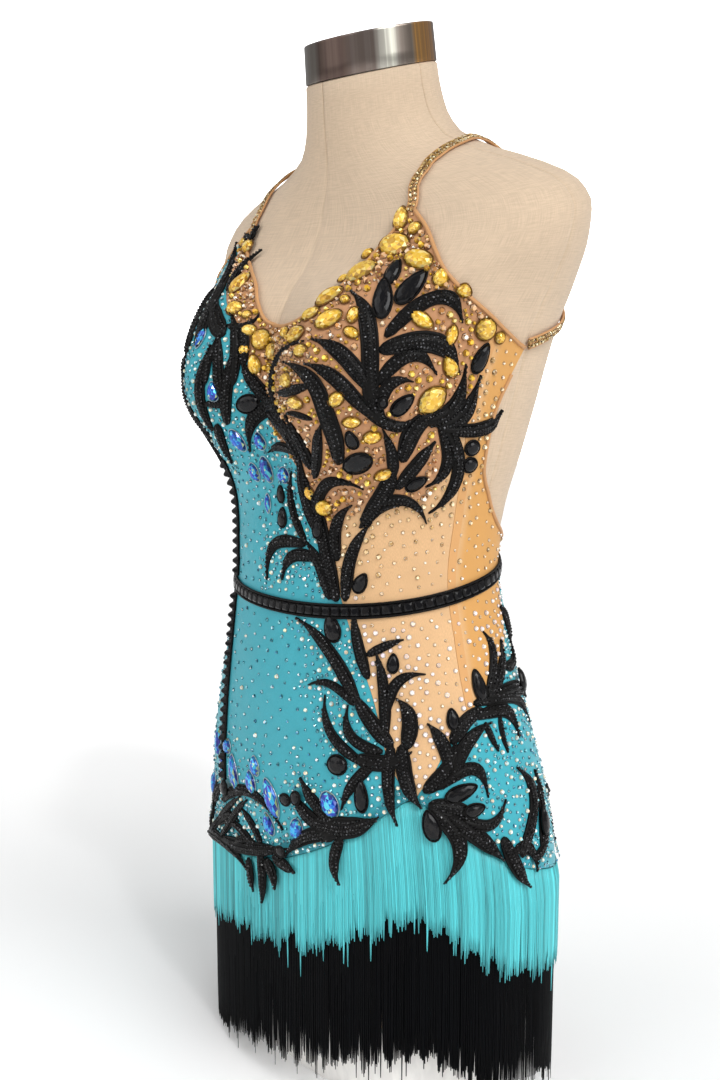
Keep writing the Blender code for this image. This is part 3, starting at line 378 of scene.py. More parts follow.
class ClothSettings(bpy.types.PropertyGroup):
    """The stretch cloth and its edges."""

    turquoise: colour("Turquoise", "The turquoise lycra", (0.046, 0.385, 0.466))
    nude: colour("Nude", "The nude mesh", (0.690, 0.432, 0.226))
    piping: colour("Piping", "The binding of the neckline and armholes", (0.56, 0.29, 0.12))
    piping_width: size("Piping width", "Width of the rolled binding", 0.0032, 0.001, 0.008)
    crease: size("Crease", "Height of the pulls at the waist", 0.0006, 0.0, 0.002)


class AppliqueSettings(bpy.types.PropertyGroup):
    """The padded black leaves, the belt and the trim."""

    black: colour("Black", "The applique's satin", (0.0055, 0.0050, 0.0048))
    cord: size("Cord height", "Height of the cord round each leaf", 0.0016, 0.0005, 0.003)
    crown: size("Crown", "Height of the padding in the middle of a leaf", 0.0030, 0.001, 0.005)
    sequin: size("Sequin", "Width of one sequin", 0.0028, 0.0015, 0.006)


class StoneSettings(bpy.types.PropertyGroup):
    """The glued stones."""

    gold_gap: size("Gold gap", "Cloth left between the gold stones", 0.00035, 0.0, 0.003)
    pearl_near: size("Pearl spacing", "Between pearl stones beside the applique", 0.0054,
                     0.002, 0.03)
    champagne: size("Champagne spacing", "Between the small stones on the nude mesh", 0.0068,
                    0.002, 0.05)
    aqua_near: size("Aqua spacing, near", "Between aqua stones beside the applique", 0.0036,
                    0.002, 0.03)
    aqua_far: size("Aqua spacing, far", "Between aqua stones in the open", 0.0100, 0.004, 0.05)
    seed: number("Seed", "Choice of the scattered stones' places", 7, 0, 1000)


class FringeSettings(bpy.types.PropertyGroup):
    """The two layers of fringe."""

    strands: number("Strands", "Strands in each layer", 1700, 100, 4000)
    strand_width: size("Strand width", "Width of one strand", 0.0016, 0.0005, 0.004)
    turquoise: colour("Turquoise", "The upper layer", (0.088, 0.520, 0.560))
    black: colour("Black", "The lower layer", (0.0014, 0.0016, 0.0022))
    straggle: size("Straggle", "How unevenly the strands end", 0.009, 0.0, 0.03)


SETTINGS = {
    "dress_stage": StageSettings, "dress_form": FormSettings, "dress_cloth": ClothSettings,
    "dress_applique": AppliqueSettings, "dress_stones": StoneSettings,
    "dress_fringe": FringeSettings,
}


# ------------------------ the surface
def column_slopes(places, values):
    """Monotone cubic slopes, so that no curve overshoots its rows."""
    gaps = np.diff(places)
    rates = np.diff(values) / gaps
    slopes = np.zeros(len(values))
    slopes[0] = rates[0]
    slopes[-1] = rates[-1]
    for i in range(1, len(places) - 1):
        if rates[i - 1] * rates[i] > 0:
            near = 2 * gaps[i] + gaps[i - 1]
            far = gaps[i] + 2 * gaps[i - 1]
            slopes[i] = (near + far) / (near / rates[i - 1] + far / rates[i])
    return slopes


def along_curve(places, values, slopes, wanted):
    """Values of a cubic curve through a table's rows."""
    wanted = np.clip(wanted, places[0], places[-1])
    i = np.clip(np.searchsorted(places, wanted, side="right") - 1, 0, len(places) - 2)
    step = places[i + 1] - places[i]
    t = (wanted - places[i]) / step
    start = values[i] * (1 + 2 * t) * (1 - t) ** 2 + slopes[i] * step * t * (1 - t) ** 2
    end = values[i + 1] * t * t * (3 - 2 * t) + slopes[i + 1] * step * t * t * (t - 1)
    return start + end


ROW_LEVELS = FORM_ROWS[:, 0]
ROW_CURVES = [(column, column_slopes(ROW_LEVELS, column)) for column in FORM_ROWS.T[1:]]
HEM_SLOPES = column_slopes(*HEM.T)


def eased(share_of):
    """A share from 0 to 1, drawn out softly at both ends."""
    share_of = np.clip(share_of, 0, 1)
    return share_of * share_of * (3 - 2 * share_of)


def form_point(angle, level):
    """Points of the form's surface; angle in degrees, level above the waist."""
    angle, level = np.broadcast_arrays(np.radians(angle), np.asarray(level, float))
    sine, cosine = np.sin(angle), np.cos(angle)
    width, front, back, centre, roundness = [
        along_curve(ROW_LEVELS, column, slopes, level) for column, slopes in ROW_CURVES]
    x = width * np.sign(sine) * np.abs(sine) ** (2 / roundness)
    depth = np.where(cosine > 0, front, back)
    y = centre - depth * np.sign(cosine) * np.abs(cosine) ** (2 / roundness)
    spread = np.where(level > BUST_LEVEL, BUST_ABOVE, BUST_BELOW)
    across = ((np.abs(x) - BUST_X) / BUST_SPREAD) ** 2
    along = ((level - BUST_LEVEL) / spread) ** 2
    y = y - BUST_RISE * np.exp(-0.5 * (across + along)) * np.clip(cosine, 0, 1) ** 0.6
    lean = np.clip((level - TILT_FROM) / TILT_OVER, 0, 1)
    z = WAIST_HEIGHT + level - NECK_DROP * lean + NECK_TILT * eased(lean) * (y - centre)
    return np.stack([x, y, z], -1)


def unit(vectors):
    return vectors / np.linalg.norm(vectors, axis=-1, keepdims=True)


def square_to(vectors, out):
    """Unit vectors turned, as little as may be, to lie square to others."""
    return unit(vectors - out * np.sum(vectors * out, axis=-1, keepdims=True))


def form_normal(angle, level):
    turn, rise = 0.1, 0.001
    round_it = form_point(angle + turn, level) - form_point(angle - turn, level)
    up_it = form_point(angle, level + rise) - form_point(angle, level - rise)
    return unit(np.cross(round_it, up_it))


def lifted(angle, level, lift):
    return form_point(angle, level) + form_normal(angle, level) * np.asarray(lift)[..., None]


def surface_frame(angle, level):
    """At each place: across to the wearer's left, up the form, and out of it."""
    out = form_normal(angle, level)
    rise = 2 * MM
    up = square_to(form_point(angle, level + rise) - form_point(angle, level - rise), out)
    return np.cross(up, out), up, out


CHART_TURN, CHART_RISE = 2.0, 4 * MM
CHART_ANGLES = np.arange(-240.0, 421.0, CHART_TURN)
CHART_LEVELS = np.arange(-0.330, 0.3641, CHART_RISE)
CHART_RINGS = form_point(CHART_ANGLES[None], CHART_LEVELS[:, None])
CHART_ARCS = np.cumsum(np.linalg.norm(np.diff(CHART_RINGS, axis=1, prepend=CHART_RINGS[:, :1]),
                                      axis=2), axis=1)
CHART_ARCS -= CHART_ARCS[:, [int(np.argmin(np.abs(CHART_ANGLES)))]]
AT_A_TIME = 4000            # places worked on together


def between(values, start, step, count):
    """For each value, the mark of an even scale at or below it, and the share beyond."""
    marks = (values - start) / step
    low = np.clip(np.floor(marks).astype(int), 0, count - 2)
    return low, marks - low


def chart_rows(levels):
    """The rows of the cutting chart below each level, and the share to the next."""
    low, rest = between(levels, CHART_LEVELS[0], CHART_RISE, len(CHART_LEVELS))
    return low, np.clip(rest, 0, 1)


def angle_of_arc(arcs, levels):
    """Angles at arcs round from the centre front, each at its own level."""
    arcs, levels = np.broadcast_arrays(np.asarray(arcs, float), np.asarray(levels, float))
    found = np.empty(arcs.size)
    for start in range(0, arcs.size, AT_A_TIME):
        part = slice(start, start + AT_A_TIME)
        low, rest = chart_rows(levels.ravel()[part])
        lengths = CHART_ARCS[low] * (1 - rest)[:, None] + CHART_ARCS[low + 1] * rest[:, None]
        wanted = arcs.ravel()[part]
        i = np.clip(np.sum(lengths < wanted[:, None], axis=1), 1, lengths.shape[1] - 1)
        here = np.arange(len(wanted))
        near, far = lengths[here, i - 1], lengths[here, i]
        found[part] = CHART_ANGLES[i - 1] + CHART_TURN * (wanted - near) / (far - near)
    return found.reshape(arcs.shape)


def arc_of_angle(angles, levels):
    """Arcs round from the centre front at angles, each at its own level."""
    angles, levels = np.broadcast_arrays(np.asarray(angles, float), np.asarray(levels, float))
    low, rest = chart_rows(levels)
    left, turn = between(angles, CHART_ANGLES[0], CHART_TURN, len(CHART_ANGLES))
    lower = CHART_ARCS[low, left] * (1 - turn) + CHART_ARCS[low, left + 1] * turn
    upper = CHART_ARCS[low + 1, left] * (1 - turn) + CHART_ARCS[low + 1, left + 1] * turn
    return lower * (1 - rest) + upper * rest


def near_turn(angle):
    """The same angle, from -180 to 180 degrees."""
    return (np.asarray(angle, float) + 180) % 360 - 180


def hem_level(angle):
    return along_curve(*HEM.T, HEM_SLOPES, near_turn(angle))


def belt_level(angle):
    return BELT_LEVEL + BELT_SLOPE * form_point(angle, 0.0)[..., 1]


def seat_lift(angle, level):
    """How far out the cloth's face is, and below the hem the face of the fringe."""
    below = hem_level(angle) - level
    hang = (HANG_LIFT + 0.4 * MM) * eased((below + 18 * MM) / (16 * MM))
    return CLOTH_FACE + 0.1 * MM + hang + DRAPE_LIFT * np.clip(below / DRAPE_DROP, 0, 1)


# ------------------------ finishes
def toned(base, by):
    """A colour made lighter or darker, or turned by one factor for each of its parts."""
    return tuple(min(1.0, c * float(f)) for c, f in zip(base, np.broadcast_to(by, 3)))


class Finish:
    """A material with one principled shader, and the nodes that feed it."""

    def __init__(self, name, base, roughness, metallic=0.0, **sockets):
        self.made = bpy.data.materials.new(name)
        self.made.use_nodes = True
        self.nodes = self.made.node_tree.nodes
        self.shader = self.nodes["Principled BSDF"]
        self.fill(self.shader, Base_Color=base, Roughness=roughness, Metallic=metallic, **sockets)

    def join(self, value, socket):
        """Links a socket to another, or sets it to a number or colour."""
        if isinstance(value, bpy.types.NodeSocket):
            self.made.node_tree.links.new(value, socket)
        else:
            socket.default_value = (*value, 1) if socket.type == "RGBA" else value

    def fill(self, node, **values):
        """Joins values to a node's sockets, named with underscores."""
        for key, value in values.items():
            self.join(value, node.inputs[key.replace("_", " ")])
        return node

    def node(self, kind, **values):
        return self.fill(self.nodes.new("ShaderNode" + kind), **values)

    def attribute(self, name, output):
        made = self.node("Attribute")
        made.attribute_name = name
        return made.outputs[output]

    def stretched(self, place, scale):
        return self.node("Mapping", Vector=place, Scale=scale).outputs["Vector"]

    def chart(self, across, along):
        """Chart coordinates of a surface, scaled to threads or bands to the metre."""
        return self.stretched(self.attribute("chart", "Vector"), (across, along, 1))

    def place(self):
        return self.node("TexCoord").outputs["Object"]

    def noise(self, place, scale=1.0, detail=2.0):
        return self.node("TexNoise", Vector=place, Scale=scale, Detail=detail).outputs["Fac"]

    def ramp(self, value, low, high):
        """0 below low, 1 above high, smooth between."""
        made = self.node("MapRange", Value=value, From_Min=low, From_Max=high)
        made.interpolation_type = "SMOOTHSTEP"
        return made.outputs["Result"]

    def cloud(self, scale, low=0.3, high=0.7):
        """Soft patches, so many to the metre."""
        return self.ramp(self.noise(self.place(), scale), low, high)

    def math(self, operation, first, second):
        made = self.node("Math")
        made.operation = operation
        self.join(first, made.inputs[0])
        self.join(second, made.inputs[1])
        return made.outputs[0]

    def mixed(self, share_of, first, second):
        """A colour between two, each a colour or a socket, by a share."""
        made = self.node("Mix")
        made.data_type = "RGBA"
        for number_of, value in ((0, share_of), (6, first), (7, second)):
            self.join(value, made.inputs[number_of])
        return made.outputs[2]

    def tones(self, share_of, base, low, high):
        return self.mixed(share_of, toned(base, low), toned(base, high))

    def bump(self, height, strength, distance):
        made = self.node("Bump", Strength=strength, Distance=distance, Height=height)
        self.fill(self.shader, Normal=made.outputs["Normal"])

    def paint(self, tone, socket="Base_Color"):
        self.fill(self.shader, **{socket: tone})
        return self.made


def linen_finish(base):
    """Plain-woven linen with slubs both ways and faint tonal patches."""
    linen = Finish("linen", base, 0.86, Sheen_Weight=0.15, Specular_IOR_Level=0.25)
    warp = linen.noise(linen.chart(1300, 60))
    weft = linen.noise(linen.chart(60, 1300))
    weave = linen.math("ADD", warp, weft)
    threads = linen.ramp(weave, 0.72, 1.28)
    linen.bump(weave, 0.35, 0.0006)
    return linen.paint(linen.mixed(linen.cloud(9.0), linen.tones(threads, base, 0.86, 1.02),
                                   linen.tones(threads, base, 0.90, 1.08)))


CAP_CHART_RADIUS = 0.05
# Down the steel run painted reflections: dark, bright and warm bands painted into its colour, the same
# on each half turn: angle round the neck, share of the steel's own colour.
STEEL_PAINTED_REFLECTIONS = (
    (-40, (0.36, 0.35, 0.33)), (-8, (0.34, 0.32, 0.30)), (-2, (0.17, 0.125, 0.115)),
    (24, (0.18, 0.13, 0.12)), (34, (0.40, 0.34, 0.32)), (51, (0.38, 0.33, 0.31)),
    (56, (1.20, 1.25, 1.18)), (67, (1.15, 1.20, 1.10)), (71, (0.46, 0.43, 0.40)),
    (86, (0.42, 0.38, 0.34)), (90, (1.05, 0.60, 0.21)), (116, (0.76, 0.39, 0.13)),
    (124, (0.24, 0.16, 0.12)), (136, (0.36, 0.35, 0.33)),
)


def steel_finish(base):
    """Polished steel sleeve, drawn lengthwise, with painted reflections: dark, bright and warm bands
    down it.
    """
    steel = Finish("drawn_steel", base, 0.30, 1.0)
    round_it = steel.node("SeparateXYZ", Vector=steel.chart(1 / (math.pi * CAP_CHART_RADIUS), 1))
    start, end_factors = STEEL_PAINTED_REFLECTIONS[0]
    half_turns = steel.math("SUBTRACT", round_it.outputs["X"], start / 180)
    # The ramp lays the painted reflection bands round the neck.
    bands = steel.node("ValToRGB", Fac=steel.math("FRACT", half_turns, 0.0))
    stops = bands.color_ramp.elements
    for stop in (stops[0], stops[-1]):
        stop.color = (*toned(base, end_factors), 1)
    for angle, factors in STEEL_PAINTED_REFLECTIONS[1:]:
        stops.new((angle - start) / 180).color = (*toned(base, factors), 1)
    lines = steel.noise(steel.chart(300, 4), 1.0, 3.0)
    scored = steel.math("MULTIPLY", steel.ramp(lines, 0.62, 0.40), 0.42)
    steel.bump(lines, 0.08, 0.0002)
    return steel.paint(steel.mixed(scored, bands.outputs["Color"], toned(base, (0.26, 0.20, 0.17))))


def board_finish(base):
    """Pale lacquer over close-grained wood."""
    lacquer = Finish("pale_lacquer", base, 0.42, Specular_IOR_Level=0.35)
    streaks = lacquer.noise(lacquer.stretched(lacquer.place(), (160, 160, 9)), 1.0, 3.0)
    lacquer.bump(streaks, 0.1, 0.0003)
    return lacquer.paint(lacquer.tones(lacquer.ramp(streaks, 0.3, 0.7), base, 0.93, 1.04))


def knit(name, base, satin, grain):
    """Fine stretch knit of wales and courses, and the tone of its loops."""
    cloth = Finish(name, base, 0.46 if satin else 0.62, Sheen_Weight=0.08, Sheen_Roughness=0.4,
                   Specular_IOR_Level=0.32 if satin else 0.2)
    wales = cloth.noise(cloth.chart(1500, 500), 1.0, 1.0)
    tone = cloth.tones(cloth.cloud(26.0), base, 1 - grain, 1 + grain)
    loops = cloth.mixed(cloth.ramp(wales, 0.3, 0.7), toned(base, 0.93), tone)
    cloth.bump(wales, 0.22, 0.0003)
    return cloth, loops


def satin_knit(name, base, grain):
    cloth, loops = knit(name, base, True, grain)
    return cloth.paint(loops)


GOLD_PAINTED_SHADE = (0.50, 0.25, 0.125)      # painted shade on the mesh between the gold stones
SEAM_ALLOWANCE = 0.0038              # half the width of the doubled mesh beside the side seam


def nude_finish(base):
    """Sheer nude mesh, doubled where the side seam's allowance lies under it, with painted shade: a
    darker ochre past the side seam and a dark brown between the gold stones.
    """
    mesh, loops = knit("nude_mesh_cloth", base, False, 0.05)
    from_seam = mesh.attribute("seam_offset", "Fac")
    # Past the side seam, towards the back, the mesh turns a darker ochre: painted shade on the form's
    # side.
    side_shaded = mesh.mixed(mesh.ramp(from_seam, 0.000, 0.012), loops, toned(base, (0.91, 0.76, 0.46)))
    doubled = mesh.ramp(mesh.math("ABSOLUTE", from_seam, 0.0), SEAM_ALLOWANCE + 0.4 * MM,
                        SEAM_ALLOWANCE - 0.4 * MM)
    cloth = mesh.mixed(doubled, side_shaded, toned(base, (0.93, 0.80, 0.62)))
    # Over all, painted shade between the gold stones.
    return mesh.paint(mesh.mixed(mesh.attribute("gold_shade", "Fac"), cloth, GOLD_PAINTED_SHADE))


def black_finish(name, base, roughness):
    """Black satin thread laid close, with a dull gloss on its twist."""
    satin = Finish(name, base, roughness, Specular_IOR_Level=0.12)
    thread = satin.noise(satin.place(), 1400.0, 1.0)
    satin.bump(thread, 0.5, 0.0004)
    return satin.paint(satin.tones(satin.ramp(thread, 0.35, 0.65), base, 0.6, 1.25))


def stone_finish(name, roughness=0.06, metallic=0.25):
    """Foiled glass: each facet keeps its own colour under a clear gloss."""
    glass = Finish(name, (0.8, 0.8, 0.8), roughness, metallic, Coat_Weight=0.15,
                   Coat_Roughness=0.03, Specular_IOR_Level=0.35)
    facet = glass.attribute("facet", "Color")
    return glass.paint(glass.mixed(glass.cloud(420.0, 0.35, 0.75), facet,
                                   glass.mixed(0.06, facet, (1.0, 1.0, 1.0))))


def rim_finish(name, base, roughness, metallic):
    """Cast metal round a stone, darker and lighter in soft patches."""
    metal = Finish(name, base, roughness, metallic)
    return metal.paint(metal.tones(metal.cloud(300.0), base, 0.78, 1.20))


def jet_finish(name, roughness, gloss):
    """Black glass, each facet a little apart from the next, clouded by wear on its polish."""
    jet = Finish(name, BLACK_FACETS[0], roughness, Specular_IOR_Level=gloss)
    facet = jet.attribute("facet", "Color")
    return jet.paint(jet.mixed(jet.cloud(260.0, 0.35, 0.75), facet,
                               jet.mixed(0.5, facet, BLACK_FACETS[0])))


def strand_finish(name, base, gloss):
    """Rayon fringe: every strand its own tone, with a long soft gloss."""
    rayon = Finish(name, base, 0.42, Specular_IOR_Level=gloss)
    streaks = rayon.noise(rayon.stretched(rayon.place(), (900, 900, 14)))
    strand = rayon.tones(rayon.attribute("tone", "Fac"), base, 0.42, 1.42)
    rayon.bump(streaks, 0.3, 0.0003)
    return rayon.paint(rayon.mixed(rayon.ramp(streaks, 0.3, 0.7), strand,
                                   rayon.mixed(0.5, strand, base)))


# ------------------------ meshes
def outward(points, faces):
    """The faces turned, where need be, so that a closed shape's normals point out."""
    points = np.asarray(points)
    volume = 0.0
    for corners in {len(face) for face in faces}:
        group = points[np.array([face for face in faces if len(face) == corners])]
        for i in range(1, corners - 1):
            volume += np.sum(group[:, 0] * np.cross(group[:, i], group[:, i + 1]))
    return [tuple(reversed(face)) for face in faces] if volume < 0 else [tuple(f) for f in faces]


def mesh_object(name, points, faces, made):
    """A mesh in the scene, with one material."""
    mesh = bpy.data.meshes.new(name)
    mesh.from_pydata(np.asarray(points).tolist(), [], faces)
    mesh.update()
    mesh.materials.append(made)
    thing = bpy.data.objects.new(name, mesh)
    bpy.context.scene.collection.objects.link(thing)
    return thing


def piece(name, shape, made, replaces=(), smooth=True, sharp=None):
    """A mesh of points and faces that rides on the dress form."""
    thing = mesh_object(name, *shape, made)
    if smooth:
        thing.data.shade_smooth()
    else:
        thing.data.shade_flat()
    if sharp is not None:
        thing.data.set_sharp_from_angle(angle=math.radians(sharp))
    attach(thing, "root")
    if replaces:
        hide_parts(*replaces)
    return thing


def point_attribute(thing, name, values):
    """A number, or a vector three numbers wide, for each point of a mesh."""
    values = np.asarray(values, np.float32)
    kind, field = ("FLOAT", "value") if values.ndim == 1 else ("FLOAT_VECTOR", "vector")
    made = thing.data.attributes.new(name, kind, "POINT")
    made.data.foreach_set(field, values.ravel())


def face_colours(thing, faces, colours):
    """A colour for each face, kept on its corners."""
    made = thing.data.color_attributes.new("facet", "FLOAT_COLOR", "CORNER")
    full = np.column_stack([colours, np.ones(len(colours))])
    corners = np.repeat(full, [len(face) for face in faces], axis=0)
    made.data.foreach_set("color", corners.astype(np.float32).ravel())


def joined(parts):
    """Points and faces of many closed parts as one mesh."""
    faces = []
    start = 0
    for points, part_faces in parts:
        faces += [tuple(i + start for i in face) for face in part_faces]
        start += len(points)
    return np.concatenate([points for points, _ in parts]), faces


def copies(faces, points_each, count):
    """The faces of many copies of one shape."""
    return [tuple(i + start for i in face)
            for start in range(0, points_each * count, points_each) for face in faces]


def quads(rings, count, closed=False):
    """Corners of the faces between rings of points: two of one ring, then two of the next."""
    for i in range(rings if closed else rings - 1):
        low, high = i * count, (i + 1) % rings * count
        for k in range(count):
            after = (k + 1) % count
            yield low + k, low + after, high + after, high + k


def loft(rings, closed=False):
    """Points and faces through rings of points, capped at both ends or joined end to end."""
    count, points = len(rings[0]), np.concatenate(rings)
    faces = list(quads(len(rings), count, closed))
    if not closed:
        faces.append(tuple(range(count - 1, -1, -1)))
        faces.append(tuple(range(len(points) - count, len(points))))
    return points, faces


def skin(rings, closed=False):
    """A closed shape through rings of points, its faces turned outward."""
    points, faces = loft(list(rings), closed)
    return points, outward(points, faces)


def directions(middle, closed=False):
    """The way along a line of points at each of them, not of unit length."""
    if closed:
        return np.roll(middle, -1, axis=0) - np.roll(middle, 1, axis=0)
    return np.gradient(middle, axis=0)


def run_lengths(points):
    """How far along a line of points each of them is."""
    return np.concatenate([[0], np.cumsum(np.linalg.norm(np.diff(points, axis=0), axis=1))])


def tube(middle, out, width, height, sides=8, closed=False):
    """A bar of oval section along a line of points; out is its surface's normal there."""
    along = directions(middle, closed)
    across = unit(np.cross(along, out))
    up = unit(np.cross(across, along))
    turns = np.arange(sides) * math.tau / sides
    rings = [m + a * (np.cos(turns) * width / 2)[:, None] + u * (np.sin(turns) * height / 2)[:, None]
             for m, a, u in zip(middle, across, up)]
    return skin(rings, closed)


ANGLE_SCALE = 0.0022        # metres of flat chart to a degree, for even triangles
PANEL_STEP = 4.5 * MM


def steps(start, stop, spacing=PANEL_STEP, scale=1.0):
    """Even steps about a spacing long; scale turns degrees into metres."""
    return np.linspace(start, stop, max(2, int(round(abs(stop - start) * scale / spacing)) + 1))


def smooth_run(table, spacing):
    """Places (angle, level) along a smooth curve through a table's rows."""
    lengths = run_lengths(table * (ANGLE_SCALE, 1.0))
    wanted = steps(0, lengths[-1], spacing)
    columns = [along_curve(lengths, column, np.gradient(column, lengths), wanted)
               for column in table.T]
    return np.stack(columns, 1)


# ------------------------ cloth panels
HALF_SEAM = 0.15 * MM
HALF_TURN = 0.08            # degrees that make half a seam's gap on these rings
SEAM_TURN = np.array([HALF_TURN, 0.0])
MIRROR = np.array([-1.0, 1.0])
SIDE_CLEAR = 2.0            # degrees, from the side seam to an armhole's next row
CROSS_CLEAR = 3.0 * MM      # from the crossing of the side and hip seams to their next rows
CROSS_GAP = np.array([0.0, 0.6 * MM])


def seam_at(seam, levels):
    """A seam's angles at levels, from its table of (level, angle)."""
    places, angles = seam[np.argsort(seam[:, 0])].T
    return along_curve(places, angles, column_slopes(places, angles), levels)


def belt_at(angle, side):
    """Level where a piece ends at the belt's middle, above it (side 1) or below it (side -1)."""
    return float(belt_level(angle)) + side * HALF_SEAM


def seam_run(seam, low, high):
    levels = steps(low, high)
    return np.stack([seam_at(seam, levels), levels], 1)


def side_run(angle, low, high):
    levels = steps(low, high)
    return np.stack([np.full(len(levels), angle), levels], 1)


def level_run(start, stop, level_at, shift=0.0):
    angles = steps(start, stop, scale=ANGLE_SCALE)
    return np.stack([angles, level_at(angles) + shift], 1)


def belt_run(start, stop, side):
    return level_run(start, stop, belt_level, side * HALF_SEAM)


def bodice_outlines():
    """Outlines (angle, level) of the four pieces above the belt, each run in turn."""
    front = seam_run(FRONT_SEAM, belt_at(seam_at(FRONT_SEAM, 0.0), 1), FRONT_SEAM[0, 0])
    foot, near_side, past_side = front[0, 0], SIDE_SEAM - HALF_TURN, SIDE_SEAM + HALF_TURN
    neck, armhole, edge = [smooth_run(table, PANEL_STEP) for table in (NECKLINE, ARMHOLE, BACK_EDGE)]
    edge[-1, 0] -= HALF_TURN
    side = side_run(SIDE_SEAM, belt_at(SIDE_SEAM, 1), float(np.interp(SIDE_SEAM, *armhole.T)))
    front_hole = armhole[armhole[:, 0] < SIDE_SEAM - SIDE_CLEAR]
    back_hole = armhole[armhole[:, 0] > SIDE_SEAM + SIDE_CLEAR]
    runs = {
        "bodice_front_gold": [
            belt_run(foot + HALF_TURN, near_side, 1), side[1:] - SEAM_TURN, front_hole[::-1],
            neck[:0:-1], front[:0:-1] + SEAM_TURN],
        "bodice_front_turquoise": [
            belt_run(-near_side, foot - HALF_TURN, 1), front[1:] - SEAM_TURN,
            front_hole * MIRROR, (side[:0:-1] - SEAM_TURN) * MIRROR],
        "bodice_back_left": [
            belt_run(past_side, 180 - HALF_TURN, 1), edge[::-1], back_hole[::-1],
            side[:0:-1] + SEAM_TURN],
    }
    found = {name: np.concatenate(rows) for name, rows in runs.items()}
    found["bodice_back_right"] = (found["bodice_back_left"] * MIRROR)[::-1]
    return found


def skirt_outlines():
    """Outlines (angle, level) of the five pieces below the belt, each run in turn."""
    front = seam_run(FRONT_SEAM, FRONT_SEAM[-1, 0], belt_at(seam_at(FRONT_SEAM, 0.0), -1))
    hip = seam_run(HIP_SEAM, HIP_SEAM[0, 0], belt_at(HIP_TOP, -1))
    for seam in (front, hip):
        seam[0, 1] = float(hem_level(seam[0, 0]))
    foot, top = front[0, 0], front[-1, 0]
    near_side, past_side, back = SIDE_SEAM - HALF_TURN, SIDE_SEAM + HALF_TURN, 180 - HALF_TURN
    cross = float(np.interp(SIDE_SEAM, *hip.T))
    crossing = np.array([(SIDE_SEAM, cross)])
    low_hip = hip[hip[:, 1] < cross - CROSS_CLEAR][1:]
    high_hip = hip[hip[:, 1] > cross + CROSS_CLEAR][:-1]
    side_top = belt_at(SIDE_SEAM, -1)
    side = side_run(SIDE_SEAM, cross + 4.0 * MM, side_top)[:-1]
    right_side = side_run(-near_side, float(hem_level(-SIDE_SEAM)), side_top)[1:-1]
    centre_back = side_run(back, float(hem_level(180)), belt_at(180, -1))[1:-1]
    runs = {
        "skirt_front_turquoise": [
            level_run(-near_side, foot - HALF_TURN, hem_level), front[1:-1] - SEAM_TURN,
            belt_run(top - HALF_TURN, -near_side, -1), right_side[::-1]],
        "skirt_front_nude": [
            front[:1] + SEAM_TURN, hip[:1] - SEAM_TURN, low_hip - SEAM_TURN, crossing - SEAM_TURN,
            side - SEAM_TURN, belt_run(near_side, top + HALF_TURN, -1),
            front[-2:0:-1] + SEAM_TURN],
        "skirt_side_nude": [
            crossing + SEAM_TURN + CROSS_GAP, high_hip - 2 * SEAM_TURN,
            belt_run(HIP_TOP - 2 * HALF_TURN, past_side, -1), side[::-1] + SEAM_TURN],
        "skirt_back_left": [
            level_run(hip[0, 0] + HALF_TURN, back, hem_level), centre_back,
            belt_run(back, HIP_TOP + HALF_TURN, -1), high_hip[::-1] + SEAM_TURN,
            crossing + SEAM_TURN - CROSS_GAP, low_hip[::-1] + SEAM_TURN],
        "skirt_back_right": [
            level_run(180 + HALF_TURN, 360 - past_side, hem_level),
            right_side + (360 - 2 * HALF_TURN, 0.0), belt_run(360 - past_side, 180 + HALF_TURN, -1),
            centre_back[::-1] + 2 * SEAM_TURN],
    }
    return {name: np.concatenate(rows) for name, rows in runs.items()}


def inside_outline(points, outline):
    """Which flat points lie inside a flat outline."""
    following = np.roll(outline, -1, axis=0)
    x, y = points[:, 0, None], points[:, 1, None]
    crosses = (outline[:, 1] > y) != (following[:, 1] > y)
    rise = np.where(following[:, 1] == outline[:, 1], 1.0, following[:, 1] - outline[:, 1])
    reach = outline[:, 0] + (y - outline[:, 1]) * (following[:, 0] - outline[:, 0]) / rise
    return np.sum(crosses & (x < reach), axis=1) % 2 == 1


def edge_distance(points, outline):
    """How far flat points are from a flat outline."""
    along = np.roll(outline, -1, axis=0) - outline
    lengths = np.maximum(np.sum(along * along, axis=1), 1e-12)
    best = np.full(len(points), np.inf)
    for start in range(0, len(points), AT_A_TIME):
        part = points[start:start + AT_A_TIME, None] - outline
        share_of = np.clip(np.sum(part * along, axis=2) / lengths, 0, 1)
        away = np.linalg.norm(part - share_of[..., None] * along, axis=2)
        best[start:start + AT_A_TIME] = away.min(axis=1)
    return best


# arc and level of both ends of a pull in the cloth, and its width (mm)
CREASES = (
    (-72, 14, -30, 26, 9), (-70, 30, -44, 46, 8), (-60, -14, -20, -26, 9), (-76, -24, -46, -46, 9),
    (150, 14, 118, 30, 9), (172, 22, 150, 48, 10), (176, -20, 140, -40, 10), (190, -36, 168, -60, 10),
    (240, 16, 300, 24, 10), (360, 16, 420, 26, 10), (-150, 18, -110, 34, 9), (-140, -18, -100, -34, 9),
)


def crease_height(arcs, levels):
    """Share of the pulls' full height at places on the chart."""
    height = np.zeros(len(arcs))
    places = np.stack([arcs, levels], 1)
    for row in np.array(CREASES) * MM:
        start, along = row[:2], row[2:4] - row[:2]
        share_of = np.clip((places - start) @ along / (along @ along), 0, 1)
        away = np.linalg.norm(places - start - share_of[:, None] * along, axis=1)
        fade = np.sin(math.pi * np.clip(share_of, 0.04, 0.96)) ** 0.7
        height = np.maximum(height, fade * np.exp(-(away / (row[4] / 2)) ** 2))
    return height


